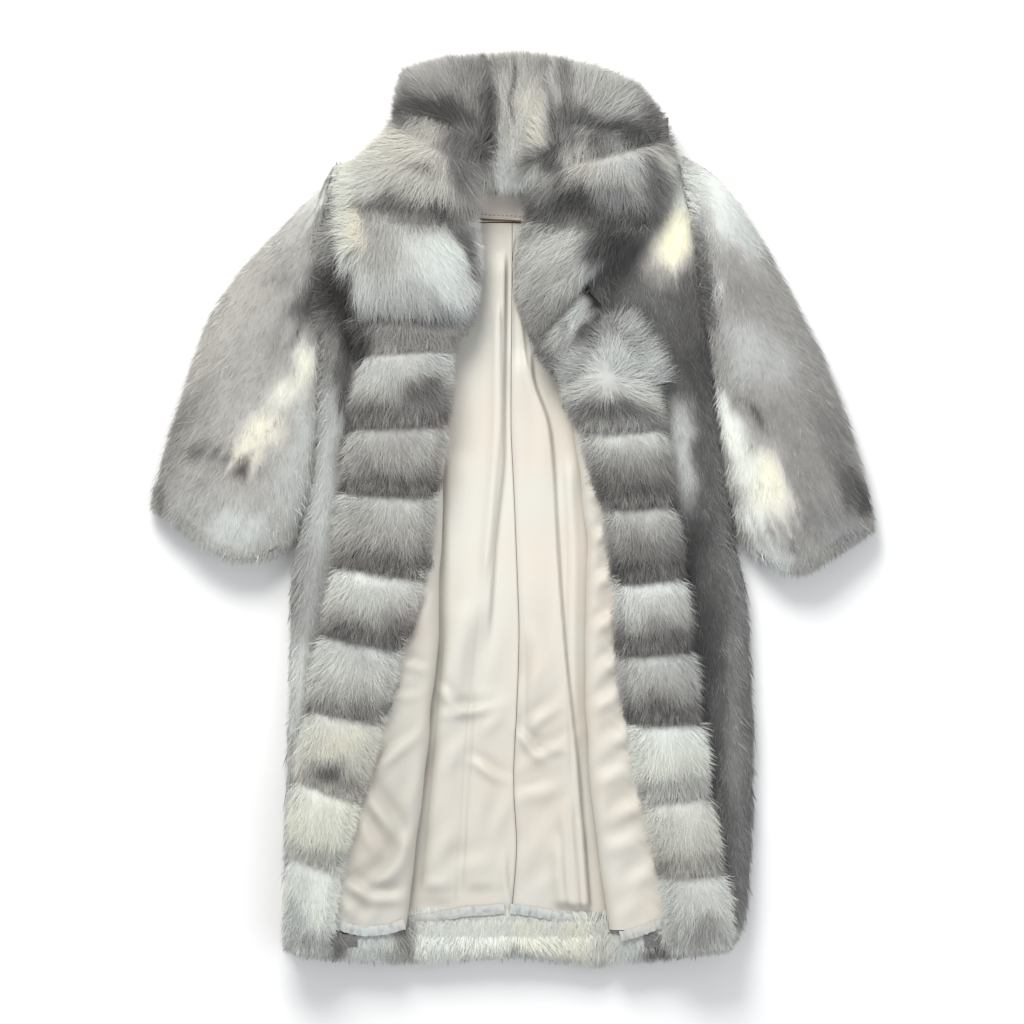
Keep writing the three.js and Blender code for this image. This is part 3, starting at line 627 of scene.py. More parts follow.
# long folds: path, height, soft side's width, sharp side's width (right of the line if positive), ends
LONG_FOLDS = {
    "left": [
        ([(403, -12), (231, -14), (63, -16), (-42, -28), (-168, -36), (-378, -62), (-567, -74)],
         4.6, -24, 3.5, 370, -200),
        ([(300, -20), (110, -20), (-40, -33), (-105, -40)], 3.0, -9, 3, 300, -120),
        ([(110, -90), (-60, -86), (-200, -88), (-380, -104), (-567, -122)], 3.5, 26, -9, 90, -540),
        ([(-250, -34), (-400, -44), (-560, -52)], 3.0, 30, -16, -240, -540),
        ([(-120, -66), (-300, -84), (-540, -100)], 2.0, -22, 16, -120, -560),
        ([(-500, -12), (-540, -8), (-560, -4)], 2.5, -8, 3, -470, -566),
    ],
    "right": [
        ([(231, 24), (175, 25), (135, 47), (63, 55), (-21, 59), (-91, 63), (-182, 70), (-322, 84), (-371, 90),
          (-567, 104)], 6.0, -30, 3, 231, -566),
        ([(-150, 26), (-260, 30), (-330, 28)], 2.0, 12, -8, -150, -360),
        ([(60, 80), (-60, 86), (-200, 84), (-360, 88)], 2.5, 9, -7, 80, -400),
        ([(-430, 78), (-500, 84), (-560, 88)], 5.5, -12, 5, -400, -566),
        ([(-470, 95), (-520, 99), (-560, 104)], 5.0, -8, 5, -430, -566),
        ([(-480, 62), (-530, 66), (-566, 70)], 4.0, -10, 6, -450, -566),
        ([(403, 6), (250, 12), (150, 26)], 2.0, -7, 3, 403, 140),
    ],
}
# slack wrinkles: middle x and y, half length, half width, turn in degrees, height
WRINKLES = {
    "left": [
        (-64, -283, 34, 5, 12, 2.6), (-88, -268, 26, 5, -38, 2.0), (-38, -366, 26, 5, -24, 2.2),
        (-80, -340, 40, 9, 55, 1.8), (-30, -300, 24, 7, 62, 1.6), (-96, -470, 40, 10, 62, 1.6),
        (-60, -500, 34, 9, 25, 1.2), (-30, -215, 60, 9, 82, 1.6), (-70, -180, 60, 10, 80, 1.4),
        (-16, -430, 40, 7, 78, 1.6), (-48, 60, 90, 12, 84, 1.0), (-110, -530, 30, 8, 30, 1.2),
    ],
    "right": [
        (44, -290, 34, 6, 48, 2.4), (20, -330, 26, 5, -42, 2.6), (54, -338, 34, 6, 34, 2.4),
        (36, -398, 36, 8, 22, 1.8), (70, -420, 34, 7, 66, 1.6), (28, -240, 40, 8, 72, 1.5),
        (30, -470, 44, 9, 70, 1.3), (52, -190, 50, 9, 84, 1.2), (30, 60, 90, 9, 88, 1.0),
        (74, 20, 80, 8, 88, 1.2), (50, -520, 30, 8, 60, 1.4),
    ],
}


def on_path(path, y):
    """x of a path at each y, both in mm, its corners rounded."""
    rows = sorted(path)
    known = [r[0] for r in rows], [r[1] for r in rows]
    return sum(np.interp(y + step, *known) for step in (-24, -12, 0, 12, 24)) / 5


def fold_relief(x, y, folds, wrinkles):
    """Height of the folds and wrinkles, in mm, and the shade painted in the hollow beside each fold's sharp
    drop and each wrinkle.
    """
    height, painted_shade = np.zeros_like(x), np.zeros_like(x)
    for path, rise, soft, sharp, top, bottom in folds:
        end = 70 if bottom > -500 else 20
        along = np.clip((top - y) / 40, 0, 1) * np.clip((y - bottom) / end, 0, 1)
        along = along * along * (3 - 2 * along)
        away = (x - on_path(path, y)) * np.sign(-soft)
        slope = np.where(away < 0, np.exp(-((away / abs(soft)) ** 2)), np.exp(-((away / abs(sharp)) ** 2)))
        height += 1.9 * rise * along * slope
        # painted shade in the hollow at the foot of each fold's sharp drop
        painted_shade += 0.38 * along * np.exp(-(((away - abs(sharp) * 1.2) / 2.4) ** 2)) * min(1, rise / 6)
    for mx, my, long, wide, turn, rise in wrinkles:
        c, s = math.cos(math.radians(turn)), math.sin(math.radians(turn))
        u = ((x - mx) * c + (y - my) * s) / long
        v = ((y - my) * c - (x - mx) * s + 3 * np.sin(2 * u)) / (1.6 * wide)
        beside = np.exp(-(u * u) - (v - 1.6) ** 2)
        height += 2.6 * rise * np.exp(-(u * u) - v * v) - 1.3 * rise * beside
        # painted shade in the trough beside each wrinkle
        painted_shade += 0.07 * rise * beside
    return height, painted_shade


def cloth_grid(name, rows, columns, place, material):
    """A sheet of quads: place takes s across and t along, both 0 to 1, and gives points and the shade painted
    at each.
    """
    s, t = np.meshgrid(np.linspace(0, 1, columns), np.linspace(0, 1, rows))
    points, painted_shade = place(s.ravel(), t.ravel())
    first = (np.arange(rows - 1)[:, None] * columns + np.arange(columns - 1)[None]).ravel()
    quads = np.stack([first, first + 1, first + columns + 1, first + columns], 1)
    piece = mesh_of(name, points, quads, material)
    give(piece, "painted_shade", painted_shade)
    return piece


TURN_IN = 20  # mm of lining that go on under the rolled edge
LINING_ROWS, LINING_COLUMNS = 230, 44
for hand, side in (("left", -1), ("right", 1)):
    def back_lining(s, t, side=side, hand=hand):
        y = (LINING_TOP + (LINING_HEM - LINING_TOP) * t) / MM
        roll = on_path(ROLL_LEFT if side < 0 else ROLL_RIGHT, y) + side * TURN_IN
        seam = on_path(PLEAT, y) + side * 0.3
        x = seam + (roll - seam) * s if side > 0 else roll + (seam - roll) * s
        height, painted_shade = fold_relief(x, y, LONG_FOLDS[hand], WRINKLES[hand])
        calm = np.clip((LINING_TOP / MM - y) / 20, 0, 1) * np.clip((y - LINING_HEM / MM) / 14, 0.25, 1)
        from_seam = np.abs(x - seam)
        ridge = 2.2 * np.exp(-((from_seam / 5) ** 2)) * (side > 0) + 1.0 * np.exp(-((from_seam / 3) ** 2))
        # painted shade along the pleat's crease
        painted_shade += 0.3 * np.exp(-((from_seam / 1.0) ** 2))
        # painted shadow under the rolled edge of each front, and painted shade growing towards the hem
        under_roll = np.clip(1 - (np.abs(roll - x) - TURN_IN) / 6, 0, 1)
        painted_shade += 0.35 * under_roll + 0.13 * np.clip((-60 - y) / 260, 0, 1)
        height = (height + ridge + 0.5 * soft_noise(x, y, 60, 71)) * calm
        limit = np.where(np.abs(roll - x) < TURN_IN + 3, 1.6, 12.0)
        z = SATIN_FLOOR / MM + np.clip(height, -0.8, limit)
        return np.stack([x, y, z], 1) * MM, np.clip(painted_shade, 0, 1)

    lining = cloth_grid(f"back_lining_{hand}_satin", LINING_ROWS, LINING_COLUMNS, back_lining, SATIN)
    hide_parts(f"back_lining_{hand}")


# Lining of the fronts
# A strip of the same satin from under the fur facing, over the round fold and a little below it.
# It is slack, so it puckers in short slanting wrinkles beside the facing.

ROLL_TOP, ROLL_BOTTOM = 60.3, 27.2
FACING_INNER = {
    "left": [(-612, -258), (-501, -241), (-402, -213), (-291, -182), (-189, -155), (-91, -125), (25, -108),
             (126, -92), (231, -85)],
    "right": [(-614, 223), (-508, 206), (-406, 182), (-294, 161), (-199, 144), (-98, 141), (7, 125),
              (115, 91), (182, 66)],
}
STRIP_WRINKLES = {
    "left": [
        (-150, -330, 34, 6, 50, 1.5), (-176, -350, 30, 6, 58, 1.6), (-160, -262, 26, 5, 10, 1.0),
        (-140, -220, 26, 5, -5, 0.9), (-196, -410, 34, 7, -48, 2.0), (-176, -440, 36, 7, -44, 2.0),
        (-205, -455, 28, 6, -55, 1.8), (-165, -500, 38, 8, 60, 2.0), (-190, -520, 34, 7, 38, 2.2),
        (-215, -535, 26, 6, -20, 2.0), (-175, -545, 30, 6, 12, 1.8), (-150, -470, 30, 8, 70, 1.8),
        (-125, -150, 40, 8, 84, 1.0), (-110, 40, 60, 7, 86, 1.0), (-200, -570, 26, 6, 70, 1.4),
        (-230, -560, 22, 6, -30, 1.5), (-140, -400, 40, 8, 74, 1.4),
    ],
    "right": [
        (112, 20, 22, 6, 40, 1.6), (118, -40, 24, 6, 52, 1.8), (124, -100, 26, 7, 48, 2.0),
        (128, -160, 26, 7, 46, 2.0), (140, -215, 28, 7, 50, 2.2), (128, -270, 28, 7, 44, 2.2),
        (150, -320, 28, 8, 50, 2.2), (136, -375, 30, 8, 40, 2.0), (165, -420, 30, 8, 46, 2.4),
        (150, -470, 32, 9, 30, 2.0), (180, -515, 30, 8, 48, 1.8), (160, -560, 30, 9, 60, 1.4),
        (120, -430, 40, 8, 84, 1.2), (140, -540, 50, 8, 80, 1.2),
    ],
}
ARC = 16.55  # half the fold's height, the satin's own thickness included
TUCK = 26.0  # mm of the strip that go back under the fold
STRIP_TOP, STRIP_HEM = 168, -588
STRIP_ROWS, STRIP_COLUMNS = 220, 40

for hand, side in (("left", -1), ("right", 1)):
    def front_lining(s, t, side=side, hand=hand):
        y = STRIP_TOP + (STRIP_HEM - STRIP_TOP) * t
        roll = on_path(ROLL_LEFT if side < 0 else ROLL_RIGHT, y)
        wide = np.maximum(np.abs(on_path(FACING_INNER[hand], y) - roll) + 12, ARC + 4)
        top_run, arc_run = wide - ARC, math.pi * ARC
        run = s * (top_run + arc_run + TUCK)
        angle = np.clip((run - top_run) / ARC, 0, math.pi)
        inset = np.where(run < top_run, wide - run, ARC - ARC * np.sin(angle))
        inset = np.where(run > top_run + arc_run, ARC + (run - top_run - arc_run), inset)
        middle = (ROLL_TOP + ROLL_BOTTOM) / 2
        z = middle + ARC * np.cos(angle)
        x = roll + side * inset
        height, beside = fold_relief(x, y, [], STRIP_WRINKLES[hand])
        near_facing = np.exp(-((np.maximum(run - 10, 0) / 24) ** 2))
        pucker = soft_noise(x * 0.5, y + side * 0.7 * x, 9, 91 + side)
        height = 1.2 * height + 1.5 * pucker * near_facing
        # painted shade in the dips of the puckers
        beside = beside + 0.14 * np.clip(-pucker, 0, 1) * near_facing
        flat_top = np.clip(1 - angle / 1.3, 0, 1) * np.clip((run - 8) / 10, 0, 1)
        sway = 1.6 * soft_noise(y, y * 0 + 5, 46, 83 + side) * np.sin(angle)
        z = z + (height + 0.7 * soft_noise(x, y, 34, 85)) * flat_top
        x = x - side * sway
        # painted shade where the satin turns under the roll, a base of painted shade over the whole strip,
        # heavier on the left, and the shade painted beside wrinkles and puckers
        painted_shade = 0.25 * np.clip((angle - 1.6) / 1.2, 0, 1) + (0.27 if side < 0 else 0.10) + beside
        return np.stack([x, y, z], 1) * MM, painted_shade

    strip = cloth_grid(f"front_lining_{hand}_satin", STRIP_ROWS, STRIP_COLUMNS, front_lining, SATIN)
    if side < 0:
        strip.data.flip_normals()
    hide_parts(f"front_lining_{hand}")


# Facing
# Short sections of fox set crosswise and sewn end to end, nine to a side. Each puffs out from
# its seams: pale hair bursts from its upper seam and runs dark into the next one.

FACING_CUT = (0.13, 0.95)
# section: lie of the hair in degrees, where it bursts from (across -1 to 1, down 0 to 1) and
# how much it fans out, tones from its upper seam to its lower one, warmth at top and bottom
FACING_SECTIONS = {
    "trim_left_9": (-92, (0.0, -0.3, 0.45), (0.36, 0.42, 0.44, 0.46, 0.40), 0.40, 0.45),
    "trim_left_8": (-90, (-0.3, 0.00, 0.50), (0.64, 0.70, 0.66, 0.48, 0.30), 0.12, 0.40),
    "trim_left_7": (-90, (0.1, 0.00, 0.45), (0.60, 0.60, 0.56, 0.46, 0.26), 0.25, 0.50),
    "trim_left_6": (-88, (0.35, 0.10, 0.62), (0.68, 0.66, 0.62, 0.46, 0.26), 0.20, 0.55),
    "trim_left_5": (-88, (0.1, 0.00, 0.45), (0.80, 0.80, 0.74, 0.50, 0.22), 0.12, 0.45),
    "trim_left_4": (-88, (0.15, 0.15, 0.55), (0.66, 0.72, 0.76, 0.66, 0.36), 0.12, 0.40),
    "trim_left_3": (-90, (0.0, 0.00, 0.45), (0.72, 0.78, 0.80, 0.74, 0.50), 0.40, 0.55),
    "trim_left_2": (-92, (0.0, 0.00, 0.45), (0.84, 0.88, 0.90, 0.86, 0.58), 0.35, 0.45),
    "trim_left_1": (-94, (0.1, 0.00, 0.45), (0.84, 0.86, 0.87, 0.80, 0.60), 0.15, 0.20),
    "trim_right_9": (-128, (0.1, -0.3, 0.45), (0.40, 0.58, 0.60, 0.46, 0.30), 0.20, 0.35),
    "trim_right_8": (-98, (0.05, 0.70, 0.76), (0.40, 0.62, 0.76, 0.72, 0.40), 0.15, 0.32),
    "trim_right_7": (-86, (0.1, -0.1, 0.45), (0.75, 0.67, 0.50, 0.37, 0.28), 0.20, 0.45),
    "trim_right_6": (-84, (0.1, 0.00, 0.45), (0.66, 0.62, 0.50, 0.38, 0.24), 0.25, 0.45),
    "trim_right_5": (-85, (0.1, 0.00, 0.45), (0.82, 0.78, 0.70, 0.50, 0.26), 0.12, 0.40),
    "trim_right_4": (-86, (0.0, 0.00, 0.45), (0.68, 0.66, 0.60, 0.44, 0.24), 0.15, 0.40),
    "trim_right_3": (-86, (0.1, 0.15, 0.60), (0.84, 0.88, 0.88, 0.82, 0.56), 0.12, 0.35),
    "trim_right_2": (-84, (0.0, 0.00, 0.45), (0.76, 0.78, 0.78, 0.70, 0.48), 0.30, 0.50),
    "trim_right_1": (-84, (0.1, 0.00, 0.60), (0.76, 0.78, 0.78, 0.74, 0.60), 0.20, 0.28),
}
FACING_PATCHES = [
    # painted shade: black in the small hollow by the right lapel
    (108, 297, 27, 15, -30, 0.00, 0.35),
    (-223, 244, 24, 31, 0, 0.12, 0.4),
    (-230, 175, 11, 34, 0, 0.20, 0.35),
    (-123, 165, 28, 21, 0, 0.30, 0.4),
    (-158, 249, 56, 14, 0, 0.44, 0.4),
    (-256, -364, 25, 13, 0, 0.32, 0.5),
    (-239, -329, 25, 20, 0, 0.80, 0.7),
    (-304, -567, 14, 36, 0, 0.72, 0.15),
    (-259, -553, 25, 39, 0, 1.00, 0.18),
    (77, 259, 14, 39, -18, 0.76, 0.1),
    (108, 263, 10, 36, -34, 0.22, 0.35),
    # painted shade along the lower edge of the lapel above
    (139, 283, 20, 11, 0, 0.28, 0.35),
    (139, 202, 46, 30, 0, 0.70, 0.10),
    (85, 207, 14, 28, 0, 0.62, 0.2),
    (195, 207, 13, 31, 0, 0.72, 0.1),
    (139, 139, 56, 13, 0, 0.32, 0.35),
    (269, -595, 22, 25, 0, 0.56, 0.3),
]


def section_places(points, form_points, lie):
    """Across (-1 to 1) and down (0 to 1) within one section, for hair that lies at that angle."""
    down = np.array([math.cos(math.radians(lie)), math.sin(math.radians(lie))])
    left = np.array([-down[1], down[0]])
    across, below = form_points[:, :2] @ left, form_points[:, :2] @ down
    u = ((points[:, :2] @ left) - across.mean()) / (np.ptp(across) / 2)
    v = ((points[:, :2] @ down) - below.min()) / np.ptp(below)
    return u, v


def off_the_seams(lie):
    """Keeps a section's puffed face, its sides and its lower end, whose hair falls over the seam."""
    down = np.array([math.cos(math.radians(lie)), math.sin(math.radians(lie))])

    def keep(centre, facing):
        return (facing[:, 2] > 0.12) | ((facing[:, 2] > -0.35) & (facing[:, :2] @ down > -0.7))
    return keep


def section_lot(name, row, patches, seed, density=1.0, hair_kind=GUARD_HAIR, keep=None):
    """One puffed section: its form and two lots of hair that fan out from its burst point."""
    lie, (burst_u, burst_v, fanned), tones, warm_top, warm_low = row
    form = smooth_form(name, keep or off_the_seams(lie))
    down = np.array([math.cos(math.radians(lie)), math.sin(math.radians(lie)), 0])
    left = np.array([-down[1], down[0], 0])
    flat = form[0][:, :2]
    across, below = flat @ left[:2], flat @ down[:2]
    burst = (left[:2] * (across.mean() + burst_u * np.ptp(across) / 2)
             + down[:2] * (below.min() + burst_v * np.ptp(below)))

    def fan(points):
        away = np.zeros((len(points), 3))
        away[:, :2] = (points[:, :2] - burst) / (np.ptp(below) * 0.5)
        return unit(away * fanned + down * (1 - fanned))

    def paint(points):
        u, v = section_places(points, form[0], lie)
        x, y = points[:, 0] / MM, points[:, 1] / MM
        v = v + 0.05 * soft_noise(x, y, 16, seed) + 0.06 * soft_noise(x, y, 34, seed + 1)
        v = v + 0.06 * (u - burst_u) ** 2
        rim = 0.62 * tones[0] + 0.38 * tones[-1]
        shade = np.interp(v, (-0.04, 0.14, 0.30, 0.54, 0.76, 0.94), (rim, *tones))
        shade = shade + 0.05 * soft_noise(x, y, 24, seed + 2)
        warm = np.interp(v, (0.1, 0.8), (warm_top, warm_low))
        return painted(points, shade, warm, patches, seed)

    hair = [
        strands(form, fan, paint, 6 * density, SHORT_UNDERFUR, seed, fray=18),
        strands(form, fan, paint, 22 * density, hair_kind, seed + 1, fray=15),
    ]
    if keep is None:
        # its lower end's hair falls over the seam below it
        edge = []
        for station in np.linspace(across.min() + 0.006, across.max() - 0.006, 7):
            end = below[np.abs(across - station) < 0.012].max() - 0.005
            edge.append((left[:2] * station + down[:2] * end) / MM)

        def edge_paint(points):
            mixed = tones[-1] + 0.10 + 0.16 * soft_noise(points[:, 0] / MM, points[:, 1] / MM, 3.5, seed + 3)
            return painted(points, mixed, warm_low, patches, seed)
        hair.append(seam_locks(edge, lie, edge_paint, seed + 2, length=0.024, wide=0.016, per_cm2=26,
                               level=np.mean, droop=0.002))
    return form, paint, hair


def joined_paint(parts):
    """Paint for a skin made of several sections: each point takes its own section's colours."""
    def paint(points):
        tones, warmths, start = [], [], 0
        for form, section_paint in parts:
            tone, warmth = section_paint(points[start:start + len(form[0])])
            tones.append(tone)
            warmths.append(warmth)
            start += len(form[0])
        return np.concatenate(tones), np.concatenate(warmths)
    return paint


def band_piece(name, rows, patches, seed, slot, flat, rests_on, locks=(), lock_plan="fur", more=(),
               **options):
    parts, lots = [], list(more)
    for i, (node_name, row) in enumerate(rows.items()):
        form, paint, hair = section_lot(node_name, row, patches, seed + 10 * i, **options)
        parts.append((form, paint))
        lots += hair
    for i, (path, lie, tone, warmth) in enumerate(locks):
        def lock_paint(points, tone=tone, warmth=warmth):
            return painted(points, tone, warmth, patches, seed)
        lots.append(seam_locks(path, lie, lock_paint, seed + 5 + i, plan=lock_plan))
    skin = skin_piece(f"{name}_pelts", [p[0] for p in parts], joined_paint(parts), list(rows))
    hair = hair_piece(f"{name}_hair", lots)


# the starburst below the lapel spreads over both its sides: path, lie, tone, warmth
FACING_SPREAD = {
    "left": [],
    "right": [([(74, 185), (108, 230), (139, 269)], 152, 0.54, 0.15),
              ([(147, 269), (178, 231), (203, 175)], 28, 0.60, 0.12)],
}


def inner_locks(hand, rows, seed):
    """Short hair along the facing's inner edge, over the satin, each run in its section's tone."""
    side, lie = (-1, -28) if hand == "left" else (1, -152)
    lots = []
    for i, (name, row) in enumerate(rows.items()):
        heights = [v.co.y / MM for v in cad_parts[name].data.vertices]
        stations = np.linspace(max(heights) - 4, min(heights) + 8, 6)
        edge = [(on_path(FACING_INNER[hand], y) + side * 5, y) for y in stations]
        tones = row[2]

        def edge_paint(points, tones=tones, top=stations[0], bottom=stations[-1], warm=row[4]):
            v = (top - points[:, 1] / MM) / (top - bottom)
            return np.interp(v, (0.0, 0.25, 0.5, 0.75, 1.0), tones) - 0.06, np.full(len(v), warm)
        lots.append(seam_locks(edge, lie, edge_paint, seed + i, length=0.017, wide=0.011, per_cm2=16,
                               plan="coat", level=np.mean, droop=0.004))
    return lots


for hand, seed in (("left", 200), ("right", 400)):
    rows = {name: row for name, row in FACING_SECTIONS.items() if hand in name}
    band_piece(f"facing_{hand}", rows, FACING_PATCHES, seed, "fur_trim", FACING_CUT,
               [f"front_{hand}_pelts"], locks=FACING_SPREAD[hand],
               more=inner_locks(hand, rows, seed + 150), density=0.82)


# Under collar and stand
# The collar's outer side, which lies fur down on the floor, and the band that joins the collar
# to the back of the neck. Its hair falls over the satin facing there.


def collar_under_paint(points):
    return painted(points, 0.46, 0.45, [(-100, 600, 50, 40, 0, 0.40, 0.5), (0, 640, 40, 30, 0, 0.6, 0.5)], 91)


def out_of_the_collar(points):
    away = points - np.array([0.0, 0.50, 0.03])
    away[:, 2] *= 0.3
    return unit(away)


def stand_paint(points):
    return painted(points, 0.68, 0.5, [(-30, 480, 12, 40, 0, 0.5, 0.5), (6, 500, 8, 60, 0, 0.55, 0.5)], 93)


def over_the_neck(points):
    return unit(np.tile([0.05, -1.0, -0.25], (len(points), 1)))


under_form = smooth_form("collar_under", lambda centre, facing: (facing[:, 2] < 0.7) & (facing[:, 1] > -0.7))
under_skin = skin_piece("collar_under_pelts", [under_form], collar_under_paint, ["collar_under"])
under_hair = hair_piece("collar_under_hair", [
    strands(under_form, out_of_the_collar, collar_under_paint, 10, UNDER_COLLAR_HAIR, 95),
])

stand_form = smooth_form("collar_stand", lambda centre, facing: (facing[:, 2] > 0.5) | (facing[:, 1] < -0.5))
stand_skin = skin_piece("collar_stand_pelts", [stand_form], stand_paint, ["collar_stand"],
                        inset=0.003)
stand_hair = hair_piece("collar_stand_hair", [
    strands(stand_form, over_the_neck, stand_paint, 30, STAND_HAIR, 97, droop=0.016, under=0.003,
            plan="coat"),
])


# Shawl collar
# Three deep puffs of fox to a side and a flatter one at the back of the neck, the longest hair
# on the coat. The back piece stands its hair up over the top edge.

COLLAR_SECTIONS = {
    "left": {
        "collar_left_low": (-78, (0.0, 0.00, 0.45), (0.52, 0.68, 0.80, 0.76, 0.50), 0.25, 0.10),
        "collar_left_mid": (-118, (0.1, 0.18, 0.70), (0.48, 0.68, 0.70, 0.58, 0.40), 0.55, 0.45),
        "collar_left_top": (118, (-0.2, 0.35, 0.80), (0.26, 0.30, 0.34, 0.40, 0.46), 0.40, 0.35),
    },
    "right": {
        "collar_right_low": (-128, (0.2, -0.05, 0.45), (0.40, 0.66, 0.68, 0.54, 0.42), 0.25, 0.35),
        "collar_right_mid": (-100, (0.0, 0.16, 0.70), (0.46, 0.70, 0.60, 0.38, 0.24), 0.50, 0.30),
        "collar_right_top": (64, (0.0, 0.35, 0.80), (0.26, 0.36, 0.50, 0.58, 0.56), 0.35, 0.30),
    },
    "back": {
        "collar_back": (92, (0.0, -1.2, 0.40), (0.68, 0.68, 0.64, 0.60, 0.50), 0.35, 0.45),
    },
}
COLLAR_CUTS = {"left": (0.16, 0.44), "right": (0.18, 0.44), "back": (0.13, 0.11)}
COLLAR_PATCHES = [
    (-234, 291, 14, 39, 6, 0.14, 0.4),
    # left puffs: dark at the top and beside the neck, pale in the middle, white at the bottom
    (-123, 613, 31, 17, 0, 0.50, 0.35),
    (-102, 554, 64, 17, -14, 0.14, 0.4),
    (-63, 594, 14, 25, 0, 0.42, 0.35),
    (-158, 501, 64, 36, 10, 0.70, 0.55),
    (-69, 476, 22, 56, 6, 0.35, 0.3),
    (-123, 472, 24, 4, -25, 0.38, 0.45),
    (-207, 468, 20, 34, 0, 0.72, 0.35),
    (-155, 427, 48, 13, 0, 0.34, 0.4),
    (-197, 367, 34, 48, 0, 0.60, 0.4),
    (-223, 398, 11, 38, 6, 0.86, 0.9),
    (-102, 343, 36, 56, 20, 0.90, 0.05),
    (-77, 305, 18, 34, 0, 0.88, 0.05),
    (-105, 416, 31, 10, -35, 0.20, 0.35),
    (-64, 370, 11, 56, 20, 0.30, 0.3),
    (-155, 291, 36, 25, 0, 0.66, 0.15),
    (-158, 252, 56, 13, 0, 0.40, 0.4),
    # back of the neck: a parting, dark on both sides
    (3, 581, 4, 48, -4, 0.28, 0.4),
    (-32, 546, 13, 90, 0, 0.24, 0.4),
    (56, 518, 7, 70, 4, 0.26, 0.35),
    (-13, 511, 10, 42, 0, 0.60, 0.3),
    (27, 546, 17, 50, 0, 0.74, 0.6),
    (-4, 468, 31, 20, 0, 0.68, 0.15),
    (38, 616, 14, 20, 0, 0.50, 0.4),
    (-18, 619, 14, 20, 0, 0.46, 0.4),
    # right puffs
    (133, 596, 39, 25, 0, 0.58, 0.3),
    (133, 535, 64, 14, -6, 0.20, 0.3),
    (76, 595, 11, 31, 10, 0.36, 0.35),
    (73, 546, 17, 20, 0, 0.24, 0.35),
    (193, 546, 14, 28, 15, 0.32, 0.3),
    (179, 595, 14, 28, 20, 0.46, 0.25),
    (108, 490, 36, 18, 0, 0.60, 0.55),
    (158, 482, 31, 28, 0, 0.66, 0.15),
    (80, 482, 17, 17, 0, 0.64, 0.55),
    (87, 427, 38, 17, -8, 0.14, 0.35),
    (196, 454, 17, 42, 10, 0.34, 0.25),
    (141, 431, 25, 20, 0, 0.44, 0.15),
    (52, 364, 48, 24, 32, 0.70, 0.3),
    (10, 314, 17, 34, 0, 0.68, 0.35),
    (141, 370, 48, 36, 10, 0.12, 0.3),
    (45, 266, 22, 31, 20, 0.50, 0.35),
    (63, 230, 14, 14, 0, 0.42, 0.3),
]
# the seams between the puffs, hidden by hair that falls across them: path, lie, tone, warmth
COLLAR_SEAMS = {
    "left": [([(-169, 546), (-130, 535), (-88, 521), (-38, 496)], -112, 0.28, 0.4),
             ([(-242, 407), (-158, 407), (-52, 407)], -88, 0.48, 0.4),
             ([(-228, 490), (-232, 427), (-225, 364)], -160, 0.82, 0.35)],
    "right": [([(38, 490), (94, 507), (150, 518), (217, 535)], -96, 0.24, 0.35),
              ([(15, 407), (94, 407), (192, 403)], -118, 0.30, 0.35),
              ([(196, 562), (208, 554), (214, 532), (222, 510)], 24, 0.34, 0.35)],
    "back": [([(-41, 473), (-18, 469), (10, 470), (39, 479)], -90, 0.62, 0.25)],
}
for hand, seed in (("left", 600), ("right", 700), ("back", 800)):
    band_piece(f"collar_{hand}", COLLAR_SECTIONS[hand], COLLAR_PATCHES, seed, "fur_trim", COLLAR_CUTS[hand],
               ["collar_under_pelts"], locks=COLLAR_SEAMS[hand],
               lock_plan="coat" if hand == "back" else "fur", density=0.9, hair_kind=COLLAR_HAIR, keep=shows)
